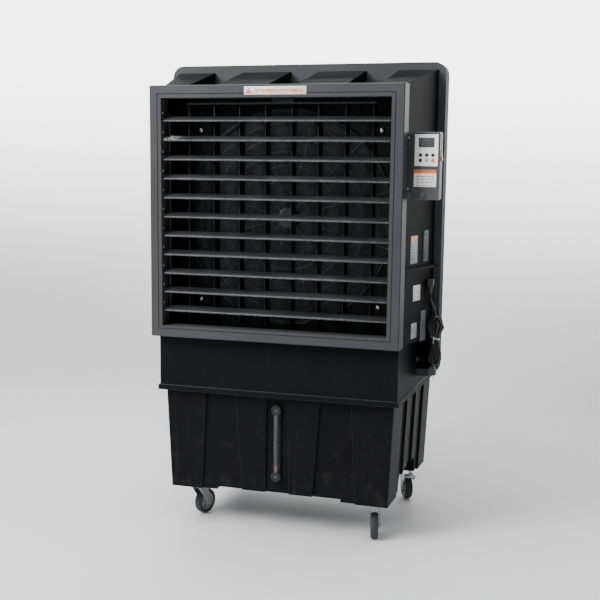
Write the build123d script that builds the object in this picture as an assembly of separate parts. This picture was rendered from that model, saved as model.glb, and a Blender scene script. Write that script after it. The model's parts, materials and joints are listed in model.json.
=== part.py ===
from build123d import *
import math
import os

os.makedirs("parts", exist_ok=True)

# Mobile evaporative air cooler on four casters.
# x = 0 is the cabinet's mid-plane, y = 0 the face of the air outlet, y grows to the back, z = 0 the floor.
# Sizes in millimetres.  Everything is moved at the end so that the origin is under the middle of the box.

# ---------------------------------------------------------------- overall sizes
DEPTH = 780.0                 # outlet face to rear grille
RIM_HALF = 552.0              # half width of the rear housing's rim
RIM_TOP = 1781.0
RIM_BOTTOM = 593.0
RIM_Y = 376.0                 # front face of the rim
RIM_DEPTH = 65.0
RIM_FACE = 28.0
RIM_RADIUS = 45.0
BAY_STEP = 12.0               # the pad bay behind stands in from the rim, above and below
BAY_SIDE_STEP = 62.0          # and at each side
WEB_T = 6.0                   # wall that joins the rim and the bay
WALL = 4.0                    # moulded wall
GAP = 0.5                     # assembly gap between pieces that only lie beside each other
RUNNING = 0.1                 # radial clearance of a turning pin

# ---------------------------------------------------------------- outlet frame
BEZEL_W = 960.0
BEZEL_BOTTOM = 749.0
BEZEL_TOP = 1680.0
BEZEL_DEPTH = 70.0
BAR = 46.0                    # width of the frame's bars
BAR_LOW = 42.0                # width of its bottom bar
GROOVE_OFFSET = 30.0          # decorative groove, from the outer edge
GROOVE_W = 3.0
GROOVE_D = 3.0
PIN_BLIND = 8.0               # depth of the louvre bearing holes

# ---------------------------------------------------------------- cabinet shell
SHELL_FRONT_HALF = 456.0
SHELL_TOP_FRONT = 1664.0
SHELL_TOP_REAR = 1700.0
VALLEYS = ((-370.0, -252.0), (-55.0, 58.0), (246.0, 372.0))
RIDGE_DROP = 2.0              # ridge top below the bezel top
LEDGE_Z = 1030.0              # shelf on each side wall
LEDGE_T = 10.0
LEDGE_PROUD = 16.0
LEDGE_INSET = 20.0            # from the outlet frame

# ---------------------------------------------------------------- lower housing
SKIRT_HALF = 469.0
SKIRT_Y = 53.0
SKIRT_REAR = 772.0
SKIRT_BOTTOM = 533.0
SKIRT_LIP = 20.0
SKIRT_LIP_PROUD = 6.0

# ---------------------------------------------------------------- tank
TANK_BOTTOM = 142.0
TANK_TOP = 529.0
TANK_BOTTOM_HALF = 435.0
TANK_TOP_HALF = 452.0
TANK_FRONT_LOW = 83.0
TANK_FRONT_TOP = 78.0
TANK_REAR_LOW = 765.0
TANK_REAR_TOP = 770.0
TANK_WALL = 6.0
TUNNEL_Y0 = 300.0
TUNNEL_Y1 = 600.0
TUNNEL_TOP = 222.0
TUNNEL_RADIUS = 60.0
ARCH_HALF = 250.0             # shallow arch in the front and rear skirts
ARCH_H = 12.0
FLUTE_DEPTH = 10.0

# ---------------------------------------------------------------- louvres and vanes
LOUVRES = 11
LOUVRE_PITCH = 70.4
LOUVRE_MID_Z = 1208.0
LOUVRE_Y = 30.0
LOUVRE_CHORD = 42.0
LOUVRE_T = 7.0
LOUVRE_TILT = 24.0            # nose down at rest
LOUVRE_END_GAP = 3.0
PIN_R = 3.0
CRANK = 26.0                  # louvre lug, pivot to link pin
LINK_PIN_R = 2.0
LUG_T = 4.0
LUG_W = 9.0
LOUVRE_LINK_X = -419.0        # inner face of the louvre link
LOUVRE_LINK_T = 5.0
LINK_W = 11.0
LINK_END = 10.0
LINK_NOTCH_Y = 11.0           # notch in a blade that clears the link, from the pivot
VANES = 8
VANE_PITCH = 100.7
VANE_Y = 100.0
VANE_CHORD = 56.0
VANE_T = 3.0
VANE_BOTTOM = 800.0
VANE_TOP = 1612.0
VANE_CRANK = 22.0
RAIL_LOW = (771.0, 783.0)     # z of the bottom rail
RAIL_HIGH = (1642.0, 1654.0)  # z of the top rail
RAIL_W = 18.0
RAIL_HALF = 448.0
VANE_LINK_Z = 1614.0
VANE_LINK_T = 6.0

# ---------------------------------------------------------------- fan
FAN_Z = 1200.0
DUCT_R = 392.0
FAN_GAP = 17.0                # fan's nominal circle inside the duct
FAN_R = DUCT_R - FAN_GAP
DUCT_T = 4.0
PLATE_Y = 200.0
DUCT_DEPTH = 100.0
PLATE_BOLT_X = 355.0
PLATE_BOLT_Z = 325.0
GUARD_Y = 180.0
WIRE = 5.0
GUARD_RINGS = 7
GUARD_SPOKES = 12
GUARD_HUB_R = 38.0
GUARD_PROUD = 14.0            # outer ring beyond the duct
GUARD_FOOT = 8.0
HUB_R = 75.0
FAN_Y0 = 222.0
FAN_Y1 = 288.0
BLADES = 5
BLADE_CHORD = 140.0
BLADE_PITCH = 26.0
BLADE_T = 4.0
BLADE_ROOT = 15.0             # blade root inside the hub
BLADE_TIP_GAP = 8.0
SHAFT_R = 8.0
MOTOR_R = 85.0
MOTOR_Y0 = 312.0
MOTOR_L = 150.0
POST_W = 32.0                 # upright posts that carry the motor
POST_T = 6.0
POST_SET = 20.0               # posts behind the motor's front end
SHAFT_L = 60.0                # shaft inside the motor

# ---------------------------------------------------------------- water side
PAD_Y0 = 600.0
PAD_T = 100.0
PAD_SIDE_GAP = 21.0           # pad inside the bay's side walls
PAD_HALF = RIM_HALF - BAY_SIDE_STEP - WALL - PAD_SIDE_GAP
PAD_TOP = 1712.0
GRILLE_T = 35.0
GRILLE_BAR = 40.0
GRILLE_SLATS = 22
SLAT_CHORD = 28.0
SLAT_T = 3.0
SLAT_TILT = 40.0
GRILLE_RIB_HALF = 8.0         # upright rib in the middle
PIPE_R = 10.0
PIPE_X = 420.0
PIPE_Y = 722.0
PIPE_TOP = 1736.0
PUMP_R = 38.0
PUMP_H = 90.0
PUMP_SET = (60.0, 50.0)       # pump axis inside the riser pipe, in x and in y
OUTLET_Z = (50.0, 62.0)       # pump outlet above the tank floor
INLET_Z = 470.0
INLET_Y = 685.0
INLET_R = 10.0
INLET_L = 28.0                # spigot outside its flange
FLANGE_PROUD = 6.0
BALL_R = 34.0
GAUGE_R = 20.0
GAUGE_LOW = 222.0
GAUGE_HIGH = 480.0
GAUGE_TUBE_R = 9.0
GAUGE_BORE_R = 7.0
FLOAT_R = 6.6
FLOAT_H = 16.0

# ---------------------------------------------------------------- controller
CTRL_X0 = 494.0
CTRL_X1 = 592.0
CTRL_Y = 75.0
CTRL_D = 50.0
CTRL_Z0 = 1280.0
CTRL_Z1 = 1516.0
CTRL_WALL = 3.0
BUTTON_R = 5.5
BUTTON_GAP = 0.4
BUTTON_COLS = (524.0, 546.0, 568.0)
BUTTON_ROWS = (1436.0, 1418.0)
BUTTON_TRAVEL = 1.5
BUTTON_PROUD = BUTTON_TRAVEL + 1.0   # a cap pressed home still stands 1 mm out
SWITCH_Z = 1436.0
SWITCH_H = 38.0
SWITCH_W = 22.0
SWITCH_PROUD = 5.0

# ---------------------------------------------------------------- casters
CASTER_X = 363.0
CASTER_FRONT_Y = 180.0
CASTER_REAR_Y = 715.0
WHEEL_R = 50.0
WHEEL_W = 30.0
TRAIL = 38.0
AXLE_R = 5.0
FORK_T = 3.0
FORK_INNER = 36.0
PLATE_T = 5.0
RACE_R = 24.0
FORK_TOP = 122.0
KINGPIN_R = 6.0
CASTERS = (
    ("front_left", -1, CASTER_FRONT_Y, 71.0, False),
    ("front_right", 1, CASTER_FRONT_Y, -76.0, False),
    ("rear_left", -1, CASTER_REAR_Y, -118.0, True),
    ("rear_right", 1, CASTER_REAR_Y, -62.0, True),
)

# ---------------------------------------------------------------- cord
CORD_R = 3.5
GLAND_STANDOFF = 13.3333      # the gland's axis outside the side wall
GLAND_Y = 325.0
GLAND_Z = 925.0               # lower end of the gland, where the cord leaves
GLAND_L = 34.0
HANK_X = 546.0
HANK_Y = 344.0
HANK_TOP = 836.0
HANK_BOTTOM = 640.0
HANK_R = 23.0
PLUG_W = 34.0
PLUG_D = 28.0
PLUG_H = 34.0


# ---------------------------------------------------------------- helpers
def box(x, y, z):
    """A box from three (low, high) pairs."""
    size = [high - low for low, high in (x, y, z)]
    middle = [(low + high) / 2 for low, high in (x, y, z)]
    return Pos(*middle) * Box(*size)


def rod(radius, start, end):
    """A round bar between two points."""
    direction = Vector(*end) - Vector(*start)
    return Plane(origin=start, z_dir=direction) * extrude(Circle(radius), direction.length)


def frustum(low, high):
    """A tapered block; each end is (z, half width, front y, rear y)."""
    faces = []
    for z, half, front, rear in (low, high):
        faces.append(Pos(0, (front + rear) / 2, z) * Rectangle(2 * half, rear - front))
    return loft(faces)


def taper_prism(front, rear):
    """A block tapered along y; each end is (y, x low, x high, z low, z high)."""
    faces = []
    for y, x0, x1, z0, z1 in (front, rear):
        plane = Plane(origin=((x0 + x1) / 2, y, (z0 + z1) / 2), x_dir=(1, 0, 0), z_dir=(0, -1, 0))
        faces.append(plane * Rectangle(x1 - x0, z1 - z0))
    return loft(faces)


def rounded_tube(half, bottom, top, y, depth, radius, wall):
    """A rectangular tube along y with rounded outer corners."""
    middle = (bottom + top) / 2
    outer = RectangleRounded(2 * half, top - bottom, radius)
    inner = RectangleRounded(2 * (half - wall), top - bottom - 2 * wall, max(radius - wall, 2))
    plane = Plane(origin=(0, y + depth, middle), x_dir=(1, 0, 0), z_dir=(0, -1, 0))
    return plane * extrude(outer - inner, depth)


def wall_half(y):
    """Outer half width of the flared side wall at a depth."""
    share = (y - BEZEL_DEPTH) / (RIM_Y - BEZEL_DEPTH)
    return SHELL_FRONT_HALF + share * (RIM_HALF - RIM_FACE - SHELL_FRONT_HALF)


def roof(y):
    """Outer height of the valleys in the sloping top at a depth."""
    share = (y - BEZEL_DEPTH) / (RIM_Y - BEZEL_DEPTH)
    return SHELL_TOP_FRONT + share * (SHELL_TOP_REAR - SHELL_TOP_FRONT)


def ridge_top(y):
    """Outer height of the wide ridges between the valleys at a depth."""
    share = (y - BEZEL_DEPTH) / (RIM_Y - BEZEL_DEPTH)
    front = BEZEL_TOP - RIDGE_DROP
    return front + share * (RIM_TOP - RIM_FACE - front)


nodes = {}


# ---------------------------------------------------------------- tank
def tank_block(inset, floor):
    """The tank's outer block, or with an inset the space inside its walls."""
    low = (TANK_BOTTOM + floor, TANK_BOTTOM_HALF - inset, TANK_FRONT_LOW + inset, TANK_REAR_LOW - inset)
    top = TANK_TOP + (1.0 if inset else 0.0)   # the inside runs out through the open top
    high = (top, TANK_TOP_HALF - inset, TANK_FRONT_TOP + inset, TANK_REAR_TOP - inset)
    return frustum(low, high)


def tunnel(margin):
    """The passage from side to side between the front and rear caster wells."""
    block = box((-RIM_HALF, RIM_HALF), (TUNNEL_Y0 - margin, TUNNEL_Y1 + margin), (0, TUNNEL_TOP + margin))
    return fillet(block.edges().filter_by(Axis.X).group_by(Axis.Z)[-1], TUNNEL_RADIUS)


def flute(x_low, x_high, depth, margin):
    """An upright channel in the tank's front, wider at its foot; x pairs at foot and at top."""
    faces = []
    for z, pair, front in ((TANK_BOTTOM, x_low, TANK_FRONT_LOW), (TANK_TOP, x_high, TANK_FRONT_TOP)):
        middle = (pair[0] + pair[1]) / 2
        half = (pair[1] - pair[0]) / 2 + margin
        faces.append(Pos(middle, front + depth / 2 - 10, z) * Rectangle(2 * half, depth + 20 + 2 * margin))
    return loft(faces)


def side_flute(side, y0, y1, margin):
    """An upright channel in a side of the tank."""
    faces = []
    for z, half in ((TANK_BOTTOM, TANK_BOTTOM_HALF), (TANK_TOP, TANK_TOP_HALF)):
        x = side * (half - FLUTE_DEPTH / 2 + 10)
        section = Rectangle(FLUTE_DEPTH + 20 + 2 * margin, y1 - y0 + 2 * margin)
        faces.append(Pos(x, (y0 + y1) / 2, z) * section)
    return loft(faces)


FRONT_FLUTES = (
    ((-308.0, -140.0), (-289.0, -168.0)),
    ((-48.0, 48.0), (-42.0, 42.0)),
    ((140.0, 308.0), (168.0, 289.0)),
)
SIDE_FLUTES = ((230.0, 320.0), (390.0, 480.0), (550.0, 640.0))


def flutes(margin):
    """All the tank's channels, or with a margin the material kept behind them."""
    cuts = [flute(low, high, FLUTE_DEPTH, margin) for low, high in FRONT_FLUTES]
    for side in (-1, 1):
        cuts += [side_flute(side, y0, y1, margin) for y0, y1 in SIDE_FLUTES]
    return cuts


def make_tank():
    arch = box((-ARCH_HALF, ARCH_HALF), (0, DEPTH + 20), (0, TANK_BOTTOM + ARCH_H))
    outer = tank_block(0, 0) - tunnel(0) - arch
    for cut in flutes(0):
        outer -= cut
    water = tank_block(TANK_WALL, TANK_WALL + ARCH_H) - tunnel(TANK_WALL)
    for backing in flutes(TANK_WALL):
        water -= backing
    return outer - water - inlet_hole()


def inlet_hole():
    """The hole that the water inlet passes through in the tank's left side."""
    outside = (-TANK_TOP_HALF - INLET_L, INLET_Y, INLET_Z)
    return rod(INLET_R + GAP, outside, (-TANK_TOP_HALF + 40, INLET_Y, INLET_Z))


def tank_half(z):
    """Outer half width of the tank at a height."""
    share = (z - TANK_BOTTOM) / (TANK_TOP - TANK_BOTTOM)
    return TANK_BOTTOM_HALF + share * (TANK_TOP_HALF - TANK_BOTTOM_HALF)


INLET_FACE_X = -TANK_TOP_HALF - 3    # outer face of the inlet's flange


nodes["tank"] = make_tank()


# ---------------------------------------------------------------- lower housing
def make_lower_housing():
    deck = RIM_BOTTOM - GAP
    front_top = BEZEL_BOTTOM - GAP
    front_rear = RIM_Y - GAP
    outer = box((-SKIRT_HALF, SKIRT_HALF), (SKIRT_Y, SKIRT_REAR), (SKIRT_BOTTOM, deck))
    outer += box((-SKIRT_HALF, SKIRT_HALF), (SKIRT_Y, front_rear), (SKIRT_BOTTOM, front_top))
    inside = SKIRT_HALF - WALL
    lip = SKIRT_LIP_PROUD
    outer += box((-SKIRT_HALF - lip, SKIRT_HALF + lip), (SKIRT_Y - lip, SKIRT_REAR),
                 (SKIRT_BOTTOM, SKIRT_BOTTOM + SKIRT_LIP))
    hollow = box((-inside, inside), (SKIRT_Y + WALL, SKIRT_REAR - WALL), (SKIRT_BOTTOM - 1, deck - WALL))
    hollow += box((-inside, inside), (SKIRT_Y + WALL, front_rear - WALL),
                  (SKIRT_BOTTOM - 1, front_top - WALL))
    drain = box((-PAD_HALF + 80, PAD_HALF - 80), (PAD_Y0, PIPE_Y - 2 * PIPE_R), (deck - WALL - 1, deck + 1))
    pipe = rod(PIPE_R + 1, (PIPE_X, PIPE_Y - 12, deck - 20), (PIPE_X, PIPE_Y - 12, deck + 20))
    return outer - hollow - drain - pipe


nodes["lower_housing"] = make_lower_housing()


# ---------------------------------------------------------------- cabinet shell
def make_cabinet_shell():
    front_y = BEZEL_DEPTH + GAP
    rear_y = RIM_Y - GAP
    foot = BEZEL_BOTTOM
    shell = taper_prism((front_y, -wall_half(front_y), wall_half(front_y), foot, ridge_top(front_y)),
                        (rear_y, -wall_half(rear_y), wall_half(rear_y), foot, ridge_top(rear_y)))
    cut_front = front_y - 1
    cut_rear = rear_y + 1
    for low, high in VALLEYS:
        shell -= taper_prism((cut_front, low, high, roof(cut_front), RIM_TOP),
                             (cut_rear, low, high, roof(cut_rear), RIM_TOP))
    shell -= taper_prism((cut_front, -wall_half(front_y) + WALL, wall_half(front_y) - WALL,
                          foot + WALL, roof(cut_front) - WALL),
                         (cut_rear, -wall_half(rear_y) + WALL, wall_half(rear_y) - WALL,
                          foot + WALL, roof(cut_rear) - WALL))
    edges = [edge for valley in VALLEYS for edge in valley]
    for ridge in range(len(VALLEYS) + 1):
        ends = []
        for y in (cut_front, cut_rear):
            side = wall_half(y) - WALL
            low = -side if ridge == 0 else edges[2 * ridge - 1] + WALL
            high = side if ridge == len(VALLEYS) else edges[2 * ridge] - WALL
            ends.append((y, low, high, roof(y) - WALL - 1, ridge_top(y) - WALL))
        shell -= taper_prism(*ends)
    ledge_front = front_y + LEDGE_INSET
    ledge_rear = rear_y - WALL
    for side in (-1, 1):
        ends = []
        for y in (ledge_front, ledge_rear):
            low, high = sorted((side * (wall_half(y) - WALL / 4), side * (wall_half(y) + LEDGE_PROUD)))
            ends.append((y, low, high, LEDGE_Z - LEDGE_T, LEDGE_Z))
        shell += taper_prism(*ends)
    return shell


nodes["cabinet_shell"] = make_cabinet_shell()


# ---------------------------------------------------------------- rear housing: rim and pad bay
def make_rear_housing():
    rim = rounded_tube(RIM_HALF, RIM_BOTTOM, RIM_TOP, RIM_Y, RIM_DEPTH, RIM_RADIUS, RIM_FACE)
    web_y = RIM_Y + RIM_DEPTH - WEB_T
    bay_rear = DEPTH - GRILLE_T - GAP
    bay_half = RIM_HALF - BAY_SIDE_STEP
    low = RIM_BOTTOM + BAY_STEP
    high = RIM_TOP - BAY_STEP
    web_half = RIM_HALF - RIM_FACE + 1
    web = box((-web_half, web_half), (web_y, RIM_Y + RIM_DEPTH), (low + WALL, high - WALL))
    bay = box((-bay_half, bay_half), (web_y, bay_rear), (low, high))
    bay = fillet(bay.edges().filter_by(Axis.Y), RIM_RADIUS - BAY_STEP)
    inside = box((-bay_half + WALL, bay_half - WALL), (web_y - RIM_DEPTH, bay_rear + 1),
                 (low + WALL, high - WALL))
    inside = fillet(inside.edges().filter_by(Axis.Y), RIM_RADIUS - BAY_STEP - WALL)
    front = box((-bay_half + WALL, bay_half - WALL), (web_y - 1, web_y + WEB_T + 1),
                (RIM_BOTTOM + RIM_FACE, RIM_TOP - RIM_FACE))
    housing = rim + (web + bay - inside) - front
    housing += box((-web_half, web_half), (RIM_Y, RIM_Y + WALL),
                   (SHELL_TOP_REAR - WALL, RIM_TOP - RIM_FACE + 1))
    floor = RIM_BOTTOM + RIM_FACE + 1
    housing -= box((-PAD_HALF + 80, PAD_HALF - 80), (PAD_Y0, PIPE_Y - 2 * PIPE_R),
                   (RIM_BOTTOM - 1, floor + 10))
    housing -= rod(PIPE_R + 1, (PIPE_X, PIPE_Y - 12, RIM_BOTTOM - 5), (PIPE_X, PIPE_Y - 12, floor + 10))
    return housing


nodes["rear_housing"] = make_rear_housing()


# ---------------------------------------------------------------- outlet frame and vane rails
def louvre_z(index):
    return LOUVRE_MID_Z + (index - (LOUVRES - 1) / 2) * LOUVRE_PITCH


def vane_x(index):
    return (index - (VANES - 1) / 2) * VANE_PITCH


OPEN_HALF = BEZEL_W / 2 - BAR
OPEN_BOTTOM = BEZEL_BOTTOM + BAR_LOW
OPEN_TOP = BEZEL_TOP - BAR


def make_outlet_frame():
    half = BEZEL_W / 2
    frame = box((-half, half), (0, BEZEL_DEPTH), (BEZEL_BOTTOM, BEZEL_TOP))
    frame = chamfer(frame.edges().filter_by(Axis.Y, reverse=True).group_by(Axis.Y)[0], 3)
    frame -= box((-OPEN_HALF, OPEN_HALF), (-1, BEZEL_DEPTH + 1), (OPEN_BOTTOM, OPEN_TOP))
    ring_half = half - GROOVE_OFFSET
    groove = box((-ring_half, ring_half), (-1, GROOVE_D),
                 (BEZEL_BOTTOM + GROOVE_OFFSET, BEZEL_TOP - GROOVE_OFFSET))
    inner = ring_half - GROOVE_W
    groove -= box((-inner, inner), (-2, GROOVE_D + 1),
                  (BEZEL_BOTTOM + GROOVE_OFFSET + GROOVE_W, BEZEL_TOP - GROOVE_OFFSET - GROOVE_W))
    frame -= groove
    for index in range(LOUVRES):
        z = louvre_z(index)
        for side in (-1, 1):
            frame -= rod(PIN_R + RUNNING, (side * (OPEN_HALF - 1), LOUVRE_Y, z),
                         (side * (OPEN_HALF + PIN_BLIND), LOUVRE_Y, z))
    rails = []
    for low, high in (RAIL_LOW, RAIL_HIGH):
        rail = box((-RAIL_HALF, RAIL_HALF), (VANE_Y - RAIL_W / 2, VANE_Y + RAIL_W / 2), (low, high))
        for index in range(VANES):
            rail -= rod(PIN_R + RUNNING, (vane_x(index), VANE_Y, low - 1), (vane_x(index), VANE_Y, high + 1))
        rails.append(rail)
    return Compound([frame.solid()] + [rail.solid() for rail in rails])


nodes["outlet_frame"] = make_outlet_frame()


# ---------------------------------------------------------------- louvres
def rounded_blade(length, chord, thick, axis_x):
    """A blade lying flat: length along X, chord along Y, with round edges."""
    profile = Plane.YZ * SlotOverall(chord, thick)
    return Pos(axis_x, 0, 0) * extrude(profile, length / 2, both=True)


LUG_X1 = LOUVRE_LINK_X + LUG_T + GAP    # inner face of a louvre's lug


def make_louvre(z):
    half = OPEN_HALF - LOUVRE_END_GAP
    blade = rounded_blade(2 * half, LOUVRE_CHORD, LOUVRE_T, 0)
    for side in (-1, 1):
        blade += rod(PIN_R, (side * (half - 4), 0, 0), (side * (OPEN_HALF + PIN_BLIND - 2), 0, 0))
    blade -= box((LOUVRE_LINK_X - LOUVRE_LINK_T - 2, LOUVRE_LINK_X + GAP / 2), (LINK_NOTCH_Y, LOUVRE_CHORD),
                 (-LOUVRE_T, LOUVRE_T))
    lug_x = (LOUVRE_LINK_X + GAP, LUG_X1)
    lug = box(lug_x, (0, CRANK + LUG_W / 2), (-LUG_W / 2, LUG_W / 2))
    pin = rod(LINK_PIN_R, (LUG_X1 - 1, CRANK, 0), (LOUVRE_LINK_X - LOUVRE_LINK_T - 1, CRANK, 0))
    return Pos(0, LOUVRE_Y, z) * (Rot(LOUVRE_TILT, 0, 0) * (blade + lug + pin))


for number in range(LOUVRES):
    nodes["louvre_%02d" % (number + 1)] = make_louvre(louvre_z(number))


def make_louvre_link():
    tilt = math.radians(LOUVRE_TILT)
    y = LOUVRE_Y + CRANK * math.cos(tilt)
    lift = CRANK * math.sin(tilt)
    bar = box((LOUVRE_LINK_X - LOUVRE_LINK_T, LOUVRE_LINK_X), (y - LINK_W / 2, y + LINK_W / 2),
              (louvre_z(0) + lift - LINK_END, louvre_z(LOUVRES - 1) + lift + LINK_END))
    for index in range(LOUVRES):
        z = louvre_z(index) + lift
        bar -= rod(LINK_PIN_R + RUNNING, (LOUVRE_LINK_X + 1, y, z), (LOUVRE_LINK_X - LOUVRE_LINK_T - 1, y, z))
    return bar


nodes["louvre_link"] = make_louvre_link()


# ---------------------------------------------------------------- vanes
def make_vane(x):
    vane = box((x - VANE_T / 2, x + VANE_T / 2), (VANE_Y - VANE_CHORD / 2, VANE_Y + VANE_CHORD / 2),
               (VANE_BOTTOM, VANE_TOP))
    vane += rod(PIN_R, (x, VANE_Y, RAIL_LOW[0] + 1), (x, VANE_Y, VANE_BOTTOM + 12))
    vane += rod(PIN_R, (x, VANE_Y, VANE_TOP - 12), (x, VANE_Y, RAIL_HIGH[1] - 1))
    crank_y = VANE_Y - VANE_CRANK
    vane += rod(LINK_PIN_R, (x, crank_y, VANE_TOP - 10), (x, crank_y, VANE_LINK_Z + VANE_LINK_T + 1))
    return vane


for number in range(VANES):
    nodes["vane_%d" % (number + 1)] = make_vane(vane_x(number))


def make_vane_link():
    y = VANE_Y - VANE_CRANK
    bar = box((vane_x(0) - LINK_END, vane_x(VANES - 1) + LINK_END), (y - LINK_W / 2, y + LINK_W / 2),
              (VANE_LINK_Z, VANE_LINK_Z + VANE_LINK_T))
    for index in range(VANES):
        x = vane_x(index)
        bar -= rod(LINK_PIN_R + RUNNING, (x, y, VANE_LINK_Z - 1), (x, y, VANE_LINK_Z + VANE_LINK_T + 1))
    return bar


nodes["vane_link"] = make_vane_link()


def make_swing_motor():
    motor_y = VANE_Y + RAIL_W
    motor = rod(20, (0, motor_y + 22, OPEN_TOP - 8), (0, motor_y + 22, OPEN_TOP + 20))
    motor += box((-44, 44), (motor_y + 1, motor_y + 44), (OPEN_TOP - 10, OPEN_TOP - 7))
    motor += box((-44, 44), (motor_y + 1, motor_y + 4), (OPEN_TOP - 10, RAIL_HIGH[1] + 6))
    return motor


nodes["swing_motor"] = make_swing_motor()


# ---------------------------------------------------------------- fan
def make_fan_shroud():
    inner_half = wall_half(PLATE_Y) - WALL - GAP
    low = BEZEL_BOTTOM + WALL + GAP
    high = roof(PLATE_Y) - WALL - GAP
    plate = box((-inner_half, inner_half), (PLATE_Y, PLATE_Y + DUCT_T), (low, high))
    tube = rod(DUCT_R + DUCT_T, (0, PLATE_Y, FAN_Z), (0, PLATE_Y + DUCT_DEPTH, FAN_Z))
    bore = rod(DUCT_R, (0, PLATE_Y - 1, FAN_Z), (0, PLATE_Y + DUCT_DEPTH + 1, FAN_Z))
    shroud = plate + tube - bore
    for x in (-PLATE_BOLT_X, PLATE_BOLT_X):
        for z in (FAN_Z - PLATE_BOLT_Z, FAN_Z + PLATE_BOLT_Z):
            shroud += rod(8, (x, PLATE_Y + 1, z), (x, PLATE_Y - 6, z))
    return shroud


nodes["fan_shroud"] = make_fan_shroud()


def make_fan_guard():
    front = (GUARD_Y, GUARD_Y + WIRE)
    guard = rod(GUARD_HUB_R, (0, front[0], FAN_Z), (0, front[1], FAN_Z))
    outer = DUCT_R + GUARD_PROUD
    for ring in range(1, GUARD_RINGS + 1):
        radius = GUARD_HUB_R + (outer - GUARD_HUB_R) * ring / GUARD_RINGS
        disc = rod(radius, (0, front[0], FAN_Z), (0, front[1], FAN_Z))
        guard += disc - rod(radius - WIRE, (0, front[0] - 1, FAN_Z), (0, front[1] + 1, FAN_Z))
    for spoke in range(GUARD_SPOKES):
        wire = box((GUARD_HUB_R - GUARD_FOOT, outer - 1), front, (-WIRE / 2, WIRE / 2))
        guard += Pos(0, 0, FAN_Z) * (Rot(0, 360 / GUARD_SPOKES * spoke + 15, 0) * wire)
    for spoke in range(4):
        foot = box((outer - GUARD_FOOT, outer), (front[0] + 1, PLATE_Y), (-GUARD_FOOT, GUARD_FOOT))
        guard += Pos(0, 0, FAN_Z) * (Rot(0, 90 * spoke + 45, 0) * foot)
    return guard


nodes["fan_guard"] = make_fan_guard()


def make_fan_impeller():
    fan = rod(HUB_R, (0, FAN_Y0, 0), (0, FAN_Y1, 0))
    middle = (FAN_Y0 + FAN_Y1) / 2
    for blade in range(BLADES):
        sheet = box((HUB_R - BLADE_ROOT, FAN_R - BLADE_TIP_GAP), (-BLADE_T / 2, BLADE_T / 2),
                    (-BLADE_CHORD / 2, BLADE_CHORD / 2))
        pitched = Pos(0, middle, 0) * (Rot(BLADE_PITCH, 0, 0) * sheet)
        fan += Rot(0, 360 / BLADES * blade + 20, 0) * pitched
    fan += rod(SHAFT_R, (0, FAN_Y1 - 1, 0), (0, MOTOR_Y0 + SHAFT_L, 0))
    return Pos(0, 0, FAN_Z) * fan


nodes["fan_impeller"] = make_fan_impeller()


def make_fan_motor():
    motor = rod(MOTOR_R, (0, MOTOR_Y0, FAN_Z), (0, MOTOR_Y0 + MOTOR_L, FAN_Z))
    motor = chamfer(motor.edges().filter_by(GeomType.CIRCLE), 8)
    motor -= rod(SHAFT_R + RUNNING, (0, MOTOR_Y0 - 1, FAN_Z), (0, MOTOR_Y0 + SHAFT_L + 2, FAN_Z))
    arm_y = (MOTOR_Y0 + POST_SET, MOTOR_Y0 + POST_SET + POST_T)
    outside = MOTOR_R - 10 + POST_W
    low = BEZEL_BOTTOM + WALL + GAP
    high = roof(arm_y[0]) - WALL - GAP
    for side in (-1, 1):
        x = sorted((side * (outside - POST_W), side * outside))
        motor += box(x, arm_y, (low, high))
    saddle = box((-outside, outside), arm_y, (FAN_Z - MOTOR_R / 2, FAN_Z + MOTOR_R / 2))
    saddle -= rod(MOTOR_R - WALL, (0, arm_y[0] - 1, FAN_Z), (0, arm_y[1] + 1, FAN_Z))
    return motor + saddle


nodes["fan_motor"] = make_fan_motor()

# ---------------------------------------------------------------- cooling pad and rear grille
PAD_BOTTOM = RIM_BOTTOM + RIM_FACE + 12
nodes["cooling_pad"] = box((-PAD_HALF, PAD_HALF), (PAD_Y0, PAD_Y0 + PAD_T), (PAD_BOTTOM, PAD_TOP))


def make_rear_grille():
    y = (DEPTH - GRILLE_T, DEPTH)
    half = RIM_HALF - BAY_SIDE_STEP
    low = RIM_BOTTOM + BAY_STEP
    high = RIM_TOP - BAY_STEP
    frame = box((-half, half), y, (low, high))
    frame -= box((-half + GRILLE_BAR, half - GRILLE_BAR), (y[0] - 1, y[1] + 1),
                 (low + GRILLE_BAR, high - GRILLE_BAR))
    frame += box((-GRILLE_RIB_HALF, GRILLE_RIB_HALF), (y[0] + 4, y[1] - 6),
                 (low + GRILLE_BAR - 1, high - GRILLE_BAR + 1))
    pitch = (high - low - 2 * GRILLE_BAR) / (GRILLE_SLATS + 1)
    middle = (y[0] + y[1]) / 2
    for slat in range(1, GRILLE_SLATS + 1):
        blade = Rot(-SLAT_TILT, 0, 0) * box((-half + GRILLE_BAR - 1, half - GRILLE_BAR + 1),
                                            (-SLAT_CHORD / 2, SLAT_CHORD / 2), (-SLAT_T / 2, SLAT_T / 2))
        frame += Pos(0, middle, low + GRILLE_BAR + slat * pitch) * blade
    return frame


nodes["rear_grille"] = make_rear_grille()


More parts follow.
